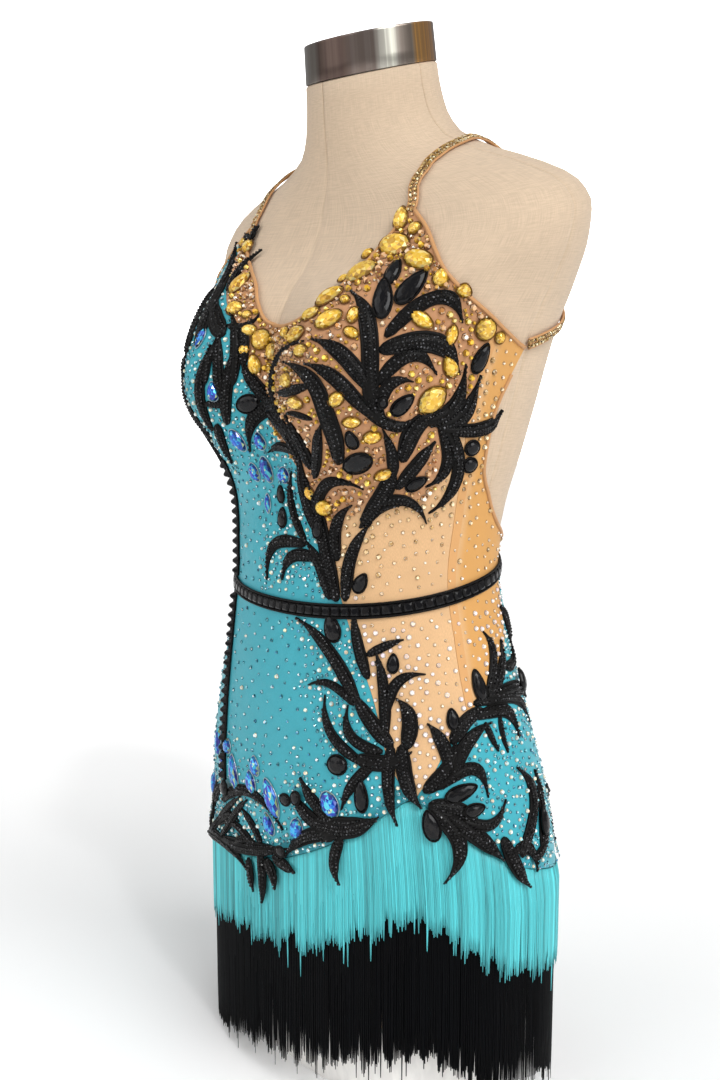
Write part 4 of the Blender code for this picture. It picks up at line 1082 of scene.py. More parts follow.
def panel_mesh(outline, crease):
    """Points and faces of a thin wall of cloth inside an outline (angle, level), and its chart."""
    edge = outline * (ANGLE_SCALE, 1.0)
    low, high = edge.min(axis=0), edge.max(axis=0)
    marks = [np.arange(math.floor(low[k] / PANEL_STEP), math.ceil(high[k] / PANEL_STEP)) * PANEL_STEP
             for k in (0, 1)]
    grid = np.stack(np.meshgrid(*marks), -1).reshape(-1, 2)
    grid = grid[inside_outline(grid, edge)]
    grid = grid[edge_distance(grid, edge) > PANEL_STEP * 0.45]
    corners = [Vector(p) for p in np.concatenate([edge, grid])]
    flat_points, _, cells, _, _, owners = delaunay_2d_cdt(
        corners, [], [list(range(len(edge)))], 0, 1e-7)
    cells = [tuple(cell) for cell, owner in zip(cells, owners) if owner]
    across, levels = np.array([p[:] for p in flat_points]).T
    angles = across / ANGLE_SCALE
    arcs = arc_of_angle(angles, levels)
    pull = crease * crease_height(arcs, levels)
    inner = lifted(angles, levels, CLOTH_LIFT + pull)
    outer = lifted(angles, levels, CLOTH_FACE + pull)
    count = len(inner)
    edges = dict.fromkeys(pair for a, b, c in cells for pair in ((a, b), (b, c), (c, a)))
    faces = [tuple(i + count for i in cell) for cell in cells]
    faces += [tuple(reversed(cell)) for cell in cells]
    faces += [(a, b, b + count, a + count) for a, b in edges if (b, a) not in edges]
    points = np.concatenate([inner, outer])
    chart = np.stack([np.tile(arcs, 2), np.tile(levels, 2), np.zeros(2 * count)], 1)
    return (points, outward(points, faces)), chart


def panel_chart(name):
    """A panel's outline on the cutting chart (arc, level)."""
    angles, levels = OUTLINES[name].T
    return np.stack([arc_of_angle(angles, levels), levels], 1)


def above_gold_edge(places):
    """How far places on the chart are above the gold stones' lower edge."""
    return places[:, 1] - np.interp(places[:, 0], *GOLD_EDGE.T * MM)


def make_cloth(settings):
    """The nine stretched pieces, each with its flat size for the cutting table."""
    turquoise = satin_knit("turquoise_lycra_cloth", settings.turquoise, 0.05)
    nude = nude_finish(settings.nude)
    for name, outline in OUTLINES.items():
        is_nude = name in NUDE_PANELS
        shape, chart = panel_mesh(outline, settings.crease)
        thing = piece(name.replace("_front_gold", "_front_nude") + "_cloth", shape,
                      nude if is_nude else turquoise,
                      [name], sharp=50)
        point_attribute(thing, "chart", chart)
        if is_nude:
            seam = arc_of_angle(SIDE_SEAM, chart[:, 1])
            point_attribute(thing, "seam_offset", chart[:, 0] - seam - 3.5 * MM)
            # Painted shade on the mesh between the gold stones, rising in just above their lower edge.
            glued = np.clip((above_gold_edge(chart) + 2 * MM) / (10 * MM), 0, 0.9)
            point_attribute(thing, "gold_shade", glued * (name == "bodice_front_gold"))


OUTLINES = {**bodice_outlines(), **skirt_outlines()}
NUDE_PANELS = ("bodice_front_gold", "skirt_front_nude", "skirt_side_nude", "bodice_back_left")


# ------------------------ dress form
FORM_SEAMS = (-92.0, 0.0, 92.0, 180.0)      # degrees
FORM_TURN, FORM_RISE = 2.5, 8.0 * MM
LINEN_RADIUS = 0.14
BOARD_TOP = -0.352
# level and lift of the board's rings, from its foot up
BOARD_RINGS = (
    (FORM_BOTTOM, -2.0 * MM), (FORM_BOTTOM + 0.6 * MM, -0.6 * MM), (FORM_BOTTOM + 2.0 * MM, 0.0),
    (-0.404, 0.0), (-0.378, 0.0), (BOARD_TOP - 1.6 * MM, 0.0), (BOARD_TOP - 0.4 * MM, -1.2 * MM),
)


def make_form(settings):
    """The padded torso in linen, its cover's seams and the neck's steel cap."""
    angles = set(np.arange(-180.0, 180.0, FORM_TURN))
    for seam in FORM_SEAMS:
        angles |= {float(near_turn(seam + off)) for off in (-0.7, -0.35, 0.0, 0.35, 0.7)}
    angles = np.array(sorted(angles))
    levels = np.arange(BOARD_TOP, NECK_TOP, FORM_RISE)
    levels = np.concatenate([[BOARD_TOP, BOARD_TOP + 1.5 * MM], levels[1:-1],
                             [NECK_TOP - 1.5 * MM, NECK_TOP]])
    grid_levels, grid_angles = np.meshgrid(levels, angles, indexing="ij")
    away = np.min([np.abs(near_turn(angles - seam)) for seam in FORM_SEAMS], axis=0)
    ridge = -settings.seam_depth * np.interp(away, (0.0, 0.35, 0.7), (1.0, 0.55, 0.0))
    lift = np.broadcast_to(ridge, grid_levels.shape).copy()
    lift[0] -= 1.5 * MM
    lift[-1] -= 1.5 * MM
    torso = piece("form_torso_linen", skin(lifted(grid_angles, grid_levels, lift)),
                  linen_finish(settings.linen), ["dress_form_torso"], sharp=60)
    arcs = np.radians(grid_angles) * LINEN_RADIUS
    point_attribute(torso, "chart", np.stack([arcs, grid_levels, 0 * arcs], -1).reshape(-1, 3))
    make_board(settings)
    make_cap(settings)


def make_board(settings):
    """The form's foot below the linen, a lacquered block with rounded edges."""
    angles = np.arange(0.0, 360.0, 4.0)
    rings = [lifted(angles, level, lift) for level, lift in BOARD_RINGS]
    piece("form_base_board", skin(rings), board_finish(settings.board),
          ["dress_form_torso"], sharp=50)


# share of the neck's radius, height above the cap's foot (mm), up its side and in over its top
CAP_PROFILE = (
    (0.97, 0.0), (0.995, 0.0), (1.0, 0.5), (0.998, 10.0), (0.996, 20.0), (0.995, 27.9), (0.995, 28.4),
    (0.985, 29.3), (0.965, 29.6), (0.90, 29.6), (0.60, 29.7), (0.20, 29.7), (0.05, 29.7),
)


def make_cap(settings):
    angles = np.arange(-180.0, 180.0, 3.0)
    foot = NECK_TOP + SEAM_GAP
    base = form_point(angles, foot)
    top = form_point(angles, CAP_TOP)
    rings, chart = [], []
    for radius, height in CAP_PROFILE:
        rise = height * MM / (CAP_TOP - foot)
        ring = base + (top - base) * rise
        middle = ring.mean(axis=0)
        rings.append(middle + (ring - middle) * radius)
        along = np.full(len(angles), radius * CAP_CHART_RADIUS + height * MM)
        chart.append(np.stack([np.radians(angles) * CAP_CHART_RADIUS, along, 0 * angles], 1))
    cap = piece("form_neck_cap_steel", skin(rings), steel_finish(settings.steel),
                ["dress_form_neck_cap"], sharp=35)
    point_attribute(cap, "chart", np.concatenate(chart))


# ------------------------ edges and straps
def bound_edge(table, width, mirror=1):
    """The rolled binding along one raw edge of the cloth."""
    angles, levels = smooth_run(table, 3.0 * MM).T
    angles = angles * mirror
    middle = lifted(angles, levels, CLOTH_LIFT + width * 0.45)
    return tube(middle, form_normal(angles, levels), width, width * 0.9)


def make_piping(settings):
    edges = [bound_edge(NECKLINE, settings.piping_width)]
    edges += [bound_edge(table, settings.piping_width, mirror)
              for mirror in (1, -1) for table in (ARMHOLE, BACK_EDGE)]
    made = satin_knit("piping_binding", settings.piping, 0.08)
    piece("edge_binding", joined(edges), made)


def strap_line(side, spacing):
    """Points along the middle of one strap, the way along it at each, and out of the form."""
    angles, levels = smooth_run(STRAP_ROUTE, spacing).T
    lifts = np.full(len(angles), STRAP_LIFT)
    if side < 0:
        lifts = lifts + STRAP_CROSS_LIFT * np.exp(-((angles - 180) / 14.0) ** 2)
    middle = lifted(side * angles, levels, lifts)
    return middle, directions(middle), form_normal(side * angles, levels)


# share of half a ribbon's width, share of its wall
RIBBON_SECTION = ((-1, 0), (1, 0), (1, 1), (0.5, 1), (0, 1), (-0.5, 1), (-1, 1))


def ribbon(middle, out, width, wall):
    """A flat band along a line of points."""
    across = unit(np.cross(directions(middle), out))
    return skin(np.stack([middle + across * width / 2 * share_of + out * (wall * height)
                          for share_of, height in RIBBON_SECTION], 1))


ELASTIC_WALL, ROLLED_EDGE = 1.1 * MM, 1.8 * MM
STRAP_STONE, STRAP_PITCH = 3.5 * MM, 3.9 * MM


def make_straps(settings):
    """Each strap: flat elastic between two rolled edges, with two rows of stones."""
    elastic = satin_knit("strap_elastic_cloth", settings.piping, 0.08)
    glass = stone_finish("strap_stones_glass", 0.07, 0.35)
    for side, name in ((1, "strap_left"), (-1, "strap_right")):
        middle, along, out = strap_line(side, 4.0 * MM)
        edge = unit(np.cross(along, out)) * (STRAP_WIDTH / 2 - 0.8 * MM)
        parts = [ribbon(middle, out, STRAP_WIDTH - 1.6 * MM, ELASTIC_WALL)]
        parts += [tube(middle + end * edge + out * 0.9 * MM, out, ROLLED_EDGE, ROLLED_EDGE, 6)
                  for end in (-1, 1)]
        piece(name + "_elastic", joined(parts), elastic, [name])
        middle, along, out = strap_line(side, STRAP_PITCH)
        along = unit(along)
        across = np.cross(out, along)
        seats = np.concatenate([middle + across * end * 1.9 * MM + out * ELASTIC_WALL
                                for end in (-1, 1)])
        frames = [np.tile(axis, (2, 1)) for axis in (across, along, out)]
        stones_at(name + "_stones", seats, frames, STRAP_STONE, 1.6 * MM, 0.0,
                  cut_stone(6, SMALL_CUT), glass, STRAP_FACETS)


# ------------------------ stones
# Painted shade on a stone's low facets and a painted highlight on its top, as factors by height.
FACET_SHADE_AND_HIGHLIGHT = ((0.0, 0.25, 0.60, 1.0), (0.22, 0.40, 0.86, 1.12))     # by height on a stone
# share of the radius, share of the height, turned by half a facet
SMALL_CUT = ((1.0, 0.0, 0), (0.90, 0.28, 0), (0.54, 1.0, 1))
LARGE_CUT = ((0.90, 0.0, 0), (1.0, 0.22, 0), (0.84, 0.62, 1), (0.56, 1.0, 0))
GEM_CUT = ((1.0, 0.0, 0), (0.95, 0.26, 0), (0.82, 0.64, 1), (0.58, 0.93, 0), (0.30, 1.0, 1))
DOME_CUT = ((0.94, 0.0, 0), (1.0, 0.30, 0), (0.86, 0.68, 1), (0.60, 0.92, 0), (0.28, 1.0, 1))
POINT_CUT = ((0.92, 0.0, 0), (1.0, 0.18, 0), (0.30, 0.92, 0), (0.16, 1.0, 0))
SEQUIN_CUT = ((1.0, 0.0, 0), (0.92, 0.45, 0), (0.46, 1.0, 1))


def outline_place(shape, turns):
    """A stone's outline, one unit in radius, by shape."""
    x, y = np.cos(turns), np.sin(turns)
    if shape == "pear":
        x = x * (1 - 0.42 * ((1 + y) / 2) ** 1.6)
    elif shape == "navette":
        x = np.sign(x) * np.abs(x) ** 1.35
    elif shape == "block":
        reach = np.maximum(np.abs(x), np.abs(y))
        x, y = x / reach, y / reach
    return np.stack([x, y], 1)


def cut_stone(sides, rings, shape="oval"):
    """Points and faces of a closed, faceted stone one unit in radius and one high."""
    points, faces = [], []
    for radius, height, half in rings:
        turns = (np.arange(sides) + 0.5 * half + (0.5 if shape == "block" else 0)) * math.tau / sides
        flat_ring = outline_place(shape, turns) * radius
        points.append(np.concatenate([flat_ring, np.full((sides, 1), height)], 1))
    for a, b, c, d in quads(len(rings), sides):
        twist = rings[d // sides][2] - rings[a // sides][2]
        if twist == 0:
            faces.append((a, b, c, d))
        elif twist > 0:
            faces += [(a, b, d), (b, c, d)]
        else:
            faces += [(a, c, d), (a, b, c)]
    faces.append(tuple(range(sides - 1, -1, -1)))
    faces.append(tuple(range((len(rings) - 1) * sides, len(rings) * sides)))
    return np.concatenate(points), faces


def facet_colours(count, cut, palette, seed, calm=0.0):
    """A colour for every facet, with painted shade on the low ones and a painted highlight on the top;
    calm draws a stone's facets to one colour.
    """
    chance = np.random.default_rng(seed)
    points, faces = cut
    heights = np.array([points[list(face), 2].mean() for face in faces])
    weights = np.linspace(1.0, 0.30, len(palette))
    picked = chance.choice(len(palette), size=(count, len(faces)), p=weights / weights.sum())
    tones = np.array(palette)[picked] * chance.uniform(0.85, 1.15, (count, 1, 1))
    own = np.array(palette)[chance.integers(0, 3, count)][:, None]
    tones = tones + (own - tones) * (calm * np.clip(heights * 1.2, 0, 1))[:, None]
    tones = tones * np.interp(heights, *FACET_SHADE_AND_HIGHLIGHT)[:, None]
    return np.clip(tones.reshape(-1, 3), 0, 1)


def stones_at(name, seats, frames, sizes, heights, leans, cut, made, palette, slot=None, seed=1,
              calm=0.0):
    """One mesh of many stones, each set in its own place with its flat back down."""
    count = len(seats)
    sizes = np.broadcast_to(sizes, (count, 2))
    heights = np.broadcast_to(heights, count)[:, None]
    leans = np.broadcast_to(leans, count)[:, None]
    across, up, out = frames
    first = across * np.cos(leans) + up * np.sin(leans)
    second = up * np.cos(leans) - across * np.sin(leans)
    cut_points, cut_faces = cut
    points = (seats[:, None]
              + first[:, None] * (cut_points[:, 0] * sizes[:, :1] / 2)[..., None]
              + second[:, None] * (cut_points[:, 1] * sizes[:, 1:] / 2)[..., None]
              + out[:, None] * (cut_points[:, 2] * heights)[..., None])
    faces = copies(cut_faces, len(cut_points), count)
    thing = piece(name, (points.reshape(-1, 3), faces), made, smooth=False)
    face_colours(thing, faces, facet_colours(count, cut, palette, seed, calm))


def seated(places, rise=0.0):
    """Seats on the dress's face at places on the chart, and the surface's directions there."""
    arcs, levels = places.T
    angles = angle_of_arc(arcs, levels)
    seats = lifted(angles, levels, seat_lift(angles, levels) + rise)
    return seats, surface_frame(angles, levels)


def listed_stones(rows):
    """Places, sizes and leans of a listed table of stones."""
    table = np.array([row[:5] for row in rows], float)
    return table[:, :2] * MM, table[:, 2:4] * MM, np.radians(table[:, 4])


RIM_SPANS = 20


def rim_round(shape, size_of, lean, seat, axes, width, height):
    """A thin rim of metal or cord round one stone."""
    turns = np.arange(RIM_SPANS) * math.tau / RIM_SPANS
    x, y = (outline_place(shape, turns) * (size_of / 2 + width * 0.3)).T
    cosine, sine = math.cos(lean), math.sin(lean)
    across, up, out = axes
    middle = (seat + across * (x * cosine - y * sine)[:, None]
              + up * (x * sine + y * cosine)[:, None] + out * height / 2)
    return tube(middle, np.broadcast_to(out, middle.shape), width, height, 6, closed=True)


# width and height of the rim (mm), facets round a stone, its cut, share of its height to its
# width, its greatest height (mm), its palette, seed and calm
STONE_SETS = {
    "gold": (1.0, 1.3, 12, GEM_CUT, 0.42, 5.0, GOLD_FACETS, 3, 0.28),
    "blue": (0.8, 1.0, 10, GEM_CUT, 0.38, 4.5, BLUE_FACETS, 19, 0.35),
    "black": (1.4, 2.0, 16, DOME_CUT, 0.34, 4.2, BLACK_FACETS, 23, 0.0),
}


def set_stones(kind, rows, shapes, rim, glass, slots=(None, None), rise=0.0):
    """Listed stones in their rims, one mesh for each shape."""
    rim_width, rim_height, sides, cut, rise_share, most, palette, seed, calm = STONE_SETS[kind]
    places, sizes, leans = listed_stones(rows)
    seats, frames = seated(places, rise)
    rims = [rim_round(*stone, rim_width * MM, rim_height * MM)
            for stone in zip(shapes, sizes, leans, seats, zip(*frames))]
    piece(kind + "_stone_rims", joined(rims), rim)
    for shape in ("oval", "pear", "navette"):
        here = np.array(shapes) == shape
        if here.any():
            heights = np.minimum(sizes[here].min(axis=1) * rise_share, most * MM)
            stones_at(f"{kind}_stones_{shape}", seats[here], [axis[here] for axis in frames],
                      sizes[here], heights, leans[here], cut_stone(sides, cut, shape), glass,
                      palette, slots[1], seed, calm)


def leaf_middle(row, spans):
    """Points along a leaf's bent middle on the chart, its slope and its half widths."""
    base, tip, (bend, width) = np.array(row, float).reshape(3, 2) * MM
    along = tip - base
    left = np.array([-along[1], along[0]]) / np.linalg.norm(along) * bend * 4 / 3
    low = base + along / 3 + left * (1 - LEAF_HOOK)
    high = base + along * 2 / 3 + left * (1 + LEAF_HOOK)
    t = np.linspace(0, 1, spans + 1)[:, None]
    middle = (base * (1 - t) ** 3 + low * 3 * t * (1 - t) ** 2 + high * 3 * t * t * (1 - t)
              + tip * t ** 3)
    slope = unit((low - base) * (1 - t) ** 2 + (high - low) * 2 * t * (1 - t) + (tip - high) * t * t)
    half = along_curve(LEAF_SHARES, LEAF_SWELL, column_slopes(LEAF_SHARES, LEAF_SWELL), t[:, 0])
    half = np.maximum(half * width / 2, 1.1 * MM)
    run = run_lengths(middle)
    base_round = np.clip((run + 0.4 * MM) / (0.45 * width), 0, 1)
    tip_round = np.clip((run[-1] - run + 0.3 * MM) / (1.8 * MM), 0, 1)
    half = half * np.sqrt(base_round * (2 - base_round)) * np.sqrt(tip_round * (2 - tip_round))
    return middle, slope, half


# arc, level, half width down the middle of every leaf
LEAF_DOTS = np.concatenate([np.column_stack([middle, half]) for middle, _, half in
                            (leaf_middle(row, 24) for rows in SPRAYS.values() for row in rows)])
LEAF_REACH = 40 * MM


def leaf_distance(places):
    """How far places are from the nearest leaf's edge, at most the reach; negative on a leaf."""
    low, high = places.min(axis=0) - LEAF_REACH, places.max(axis=0) + LEAF_REACH
    near = np.all((LEAF_DOTS[:, :2] > low) & (LEAF_DOTS[:, :2] < high), axis=1)
    best = np.full(len(places), LEAF_REACH)
    for x, y, half in LEAF_DOTS[near]:
        np.minimum(best, np.hypot(places[:, 0] - x, places[:, 1] - y) - half, out=best)
    return best


def spread(places, radii, taken):
    """Which places, taken in order, stand clear of each other and of what is taken."""
    cell = 2 * max(float(radii.max()), float(taken[:, 2].max()) if len(taken) else 0.0)
    cells = {}
    for x, y, r in taken:
        cells.setdefault((int(x // cell), int(y // cell)), []).append((x, y, r))
    kept = []
    for k, ((x, y), r) in enumerate(zip(places, radii)):
        i, j = int(x // cell), int(y // cell)
        near = [other for a in (-1, 0, 1) for b in (-1, 0, 1)
                for other in cells.get((i + a, j + b), ())]
        if all((x - a) ** 2 + (y - b) ** 2 >= (r + c) ** 2 for a, b, c in near):
            cells.setdefault((i, j), []).append((x, y, r))
            kept.append(k)
    return np.array(kept, int)


def with_taken(taken, places, radii):
    return np.concatenate([taken, np.column_stack([places, radii])])


def taken_places():
    """Rows (arc, level, radius) that the listed stones, belt and trim already cover."""
    rows = []
    for stones in (BLACK_STONES, GOLD_STONES, BLUE_STONES):
        for (arc, level), (width, height), lean in zip(*listed_stones(stones)):
            small, long = sorted((width, height))
            turn = lean + (math.pi / 2 if height > width else 0)
            reach = (long - small) / 2
            for move in reach * np.linspace(-1, 1, 5) if reach > 0.2 * small else (0.0,):
                rows.append((arc + move * math.cos(turn), level + move * math.sin(turn), small / 2))
    around = np.arange(-180.0, 200.0, 1.2)
    levels = belt_level(around)
    rows += [(arc, level, BELT_WIDTH / 2 + 0.8 * MM)
             for arc, level in zip(arc_of_angle(around, levels), levels)]
    rows += [(TRIM_ARC, level, TRIM_WIDTH / 2 + 1.0 * MM)
             for level in np.arange(TRIM_BOTTOM - 0.004, TRIM_TOP + 0.004, 0.003)]
    return np.array(rows)


def candidates(name, count, margin, chance):
    """Places inside a panel, clear of its edge and of the leaves, and how far from a leaf."""
    outline = panel_chart(name)
    places = chance.uniform(outline.min(axis=0), outline.max(axis=0), (count, 2))
    places = places[inside_outline(places, outline)]
    places = places[edge_distance(places, outline) > margin]
    away = leaf_distance(places)
    return places[away > margin], away[away > margin]


# radius (mm), share of height to width and how many places are tried, large stones first
GOLD_SIZES = ((3.0, 0.50, 9000), (2.3, 0.54, 18000), (1.7, 0.58, 28000), (1.2, 0.6, 34000))


def make_gold(settings):
    """The neckline's big gold stones in their rims, and the stones that fill between."""
    glass = stone_finish("gold_glass")
    chance = np.random.default_rng(settings.seed)
    set_stones("gold", GOLD_STONES, [row[5] for row in GOLD_STONES],
               rim_finish("old_gold_rim", (0.20, 0.095, 0.025), 0.36, 0.8), glass)
    taken = taken_places()
    fills = []
    for radius, rise_share, count in GOLD_SIZES:
        places, _ = candidates("bodice_front_gold", count, radius * MM + 0.2 * MM, chance)
        places = places[above_gold_edge(places) > 0]
        clear = radius * MM + settings.gold_gap / 2
        places = places[spread(places, np.full(len(places), clear), taken)]
        each = np.ones(len(places))
        taken = with_taken(taken, places, each * clear)
        width = radius * MM * 2
        fills.append(np.column_stack([places, each * width, each * (width * rise_share),
                                      np.arange(len(places)) % 5 < 3]))
    fills = np.concatenate(fills)
    for name, palette in (("amber", AMBER_FACETS), ("gold", GOLD_FACETS)):
        rows = fills[(fills[:, 4] == 1) == (name == "amber")]
        stones_at(name + "_stone_fill", *seated(rows[:, :2]), rows[:, 2:3], rows[:, 3],
                  chance.uniform(0, 1, len(rows)), cut_stone(6, SMALL_CUT), glass, palette, seed=5)
    return taken


PLACES_TRIED = 40000        # on each panel
STONE_MARGIN = 1.4 * MM
SMALL_RISE = 0.40           # a scattered stone's height to its width


def scatter(names, near, far, reach, sizes, taken, chance, allowed=None, beside=()):
    """Places and widths of scattered stones, close beside leaves and listed places."""
    spots, widths = [], []
    for name in names:
        places, away = candidates(name, PLACES_TRIED, STONE_MARGIN, chance)
        if allowed is not None:
            keep = allowed(places)
            places, away = places[keep], away[keep]
        for spot in beside:
            away = np.minimum(away, np.linalg.norm(places - spot, axis=1))
        radii = (near + (far - near) * eased(away / reach)) / 2
        places = places[spread(places, radii, taken)]
        wide = chance.choice(sizes, len(places)) * MM
        taken = with_taken(taken, places, wide / 2 + 0.3 * MM)
        spots.append(places)
        widths.append(wide)
    return np.concatenate(spots), np.concatenate(widths), taken


def scattered_stones(name, spots, widths, sides, glass, palette, seed):
    leans = np.random.default_rng(seed).uniform(0, 1, len(spots))
    stones_at(name, *seated(spots), widths[:, None], widths * SMALL_RISE, leans,
              cut_stone(sides, SMALL_CUT), glass, palette, seed=seed)


def open_mesh(places):
    """Which places on the nude mesh the gold stones leave free."""
    return (above_gold_edge(places) <= 0) | (places[:, 0] >= GOLD_END)


def make_pearls(settings, taken):
    """Pearly and honey stones beside the leaves on the nude mesh, champagne ones in the open."""
    chance = np.random.default_rng(settings.seed + 1)
    glass = stone_finish("pearl_glass", 0.08, 0.1)
    spots, widths, taken = scatter(NUDE_PANELS, settings.pearl_near, 30 * MM, 46 * MM,
                                   (3.4, 4.0, 4.6), taken, chance, open_mesh)
    honey = spots[:, 1] > 0
    scattered_stones("pearl_stones", spots[~honey], widths[~honey], 7, glass, PEARL_FACETS, 11)
    if honey.any():
        scattered_stones("honey_stones", spots[honey], widths[honey], 7, glass, HONEY_FACETS, 11)
    spots, widths, taken = scatter(NUDE_PANELS, settings.champagne, settings.champagne * 1.25,
                                   30 * MM, (2.4, 2.8, 3.2), taken, chance, open_mesh)
    scattered_stones("champagne_stones", spots, widths, 7, glass, CHAMPAGNE_FACETS, 11)


def make_aquas(settings, taken):
    """Aqua stones on the turquoise, with opal ones among them, and the big blue drops."""
    chance = np.random.default_rng(settings.seed + 2)
    glass = stone_finish("aqua_glass", 0.08, 0.2)
    names = ("bodice_front_turquoise", "skirt_front_turquoise", "skirt_back_left",
             "skirt_back_right", "bodice_back_right")
    beside = listed_stones(BLUE_STONES)[0]
    opals, opal_widths, taken = scatter(names, 7.6 * MM, 40 * MM, 36 * MM, (3.2, 3.8, 4.4), taken,
                                        chance, beside=beside)
    spots, widths, taken = scatter(names, settings.aqua_near, settings.aqua_far, 30 * MM,
                                   (2.6, 3.0, 3.5), taken, chance, beside=beside)
    scattered_stones("aqua_stones", spots, widths, 6, glass, AQUA_FACETS, 13)
    scattered_stones("opal_stones", opals, opal_widths, 8, glass, OPAL_FACETS, 17)
    set_stones("blue", BLUE_STONES, [row[5] for row in BLUE_STONES],
               rim_finish("pale_steel_rim", (0.42, 0.50, 0.55), 0.30, 0.9),
               stone_finish("blue_glass", 0.05, 0.35))


def make_black_stones(settings):
    """Large domed black drops between the leaves, each in a corded rim."""
    places, sizes, _ = listed_stones(BLACK_STONES)
    on_leaf = leaf_distance(places) < 2 * MM
    set_stones("black", BLACK_STONES,
               ["pear" if long > wide * 1.25 else "oval" for wide, long in sizes],
               black_finish("black_cord_rim", settings.black, 0.42),
               jet_finish("black_glass", 0.12, 0.26), ("black_applique", "black_trim"),
               np.where(on_leaf, 3.0 * MM, 0.0))


# ------------------------ belt and trim
CORD_WIDTH = 1.9 * MM
BAND_WALL = 0.9 * MM


def stoned_band(name, angles, levels, lift, width, block, settings, glass, closed=False):
    """A black band with a cord along each edge and a row of cut stones between."""
    middle = lifted(angles, levels, lift)
    out = form_normal(angles, levels)
    along = directions(middle, closed)
    across = unit(np.cross(along, out))
    top = out * BAND_WALL
    cord, edge = across * (width / 2 - 0.9 * MM), across * (width / 2 - 1.0 * MM)
    parts = [tube(line, out, CORD_WIDTH, CORD_WIDTH, 8, closed)
             for line in (middle - cord + top, middle + cord + top)]
    parts.append(skin(np.stack([middle - edge, middle + edge, middle + edge + top,
                                middle - edge + top], 1), closed))
    piece(name + "_band", joined(parts), black_finish(name + "_satin", settings.black, 0.38),
          [name])
    block_width, pitch, height, cut = block
    rows = np.concatenate([middle, out, along], 1)
    if closed:
        rows = np.concatenate([rows, rows[:1]])
    run = run_lengths(rows[:, :3])
    count = int(run[-1] / pitch)
    wanted = (np.arange(count) + 0.5) * run[-1] / count
    rows = np.stack([np.interp(wanted, run, column) for column in rows.T], 1)
    seats, out = rows[:, :3], unit(rows[:, 3:6])
    along = square_to(rows[:, 6:], out)
    stones_at(name + "_stones", seats + out * 0.7 * MM, (np.cross(along, out), along, out),
              (block_width, run[-1] / count - 0.5 * MM), height, 0.0, cut, glass, BLACK_FACETS,
              "black_trim", 29)


def make_belt(settings):
    angles = np.arange(0.0, 360.0, 2.0)
    block = (7.6 * MM, 8.2 * MM, 1.9 * MM, cut_stone(8, LARGE_CUT, "block"))
    stoned_band("belt", angles, belt_level(angles), BELT_LIFT, BELT_WIDTH, block, settings,
                jet_finish("belt_glass", 0.12, 0.22), True)


def make_trim(settings):
    """The narrow stoned band down the wearer's right, broken by the belt."""
    glass = jet_finish("trim_glass", 0.12, 0.22)
    belt_middle = float(belt_level(angle_of_arc(TRIM_ARC, 0.0)))
    gap = BELT_WIDTH / 2 + 1.0 * MM
    block = (7.4 * MM, 8.0 * MM, 5.0 * MM, cut_stone(8, POINT_CUT, "block"))
    for name, low, high in (("trim_band_bodice", belt_middle + gap, TRIM_TOP),
                            ("trim_band_skirt", TRIM_BOTTOM, belt_middle - gap)):
        levels = np.linspace(low, high, int((high - low) / (4 * MM)))
        stoned_band(name, angle_of_arc(TRIM_ARC, levels), levels, TRIM_LIFT, TRIM_WIDTH, block,
                    settings, glass)


# ------------------------ applique
# Across a leaf, from each edge to the middle: share of the half width.
LEAF_COLUMNS = np.array([0.0, 0.05, 0.12, 0.20, 0.28, 0.35, 0.50, 0.68, 0.85, 1.0])
CORD_SHARE = 0.34


def leaf_height(inward, half, cord, crown):
    """The padding's height at a share of the way in from the edge to the middle."""
    inside = np.clip((inward - CORD_SHARE) / (1 - CORD_SHARE), 0, 1)
    roll = np.clip(1 - ((inward - CORD_SHARE / 2) / (CORD_SHARE / 2)) ** 2, 0, 1)
    size_share = np.clip(half / (5 * MM), 0.35, 1)
    valley = 0.55 * cord * np.clip(inward / 0.1, 0, 1)
    dome = valley + (crown - valley) * size_share * np.sin(inside * math.pi / 2) ** 0.8
    return np.where(inward < CORD_SHARE, np.maximum(cord * size_share * np.sqrt(roll), 0),
                    np.maximum(dome, 0))


LEAF_ROW = 2.6 * MM         # length of one row of a leaf's faces
LEAF_STEP = 0.12 * MM       # how much higher a leaf lies than the one before, five to a turn
LINE_SHARE = 0.96           # of a sequin's pitch from one line of sequins to the next


def leaf_line(row, pitch, least):
    """A leaf's middle in rows about a pitch apart: its points, slope, half widths, left side."""
    length = math.dist(row[0:2], row[2:4]) * MM
    middle, slope, half = leaf_middle(row, max(least, int(length / pitch)))
    return middle, slope, half, np.stack([-slope[:, 1], slope[:, 0]], 1)


def leaf_mesh(row, order, settings):
    """Points and faces of one padded leaf, closed underneath."""
    middle, _, half, side = leaf_line(row, LEAF_ROW, 8)
    shares = np.concatenate([LEAF_COLUMNS - 1, 1 - LEAF_COLUMNS[-2::-1]])
    places = middle[:, None] + side[:, None] * (half[:, None] * shares)[..., None]
    angles = angle_of_arc(places[..., 0], places[..., 1])
    seat = seat_lift(angles, places[..., 1]) + (order % 5) * LEAF_STEP
    heights = leaf_height(1 - np.abs(shares)[None], half[:, None], settings.cord, settings.crown)
    return skin(lifted(angles, places[..., 1], seat + heights))


def leaf_sequins(row, order, settings):
    """Rows of a leaf's sequins: arc, level, share of the way in, half width, lean, height."""
    pitch = settings.sequin * 0.98
    middle, slope, half, side = leaf_line(row, pitch / 1.04, 6)
    found = []
    lines = max(1, int(round(row[5] * MM * (1 - CORD_SHARE) / (pitch * LINE_SHARE))))
    for line in range(lines):
        offset = (line - (lines - 1) / 2) * pitch * LINE_SHARE
        shift = 0.5 * (line % 2)
        for k in range(1, len(middle) - 1):
            share_of = abs(offset) / max(half[k], 1e-6)
            if share_of <= 1 - CORD_SHARE * 0.72:
                place = middle[k] * (1 - shift) + middle[k + 1] * shift + side[k] * offset
                found.append((*place, 1 - share_of, half[k], math.atan2(slope[k, 1], slope[k, 0]),
                              (order % 5) * LEAF_STEP))
    return found


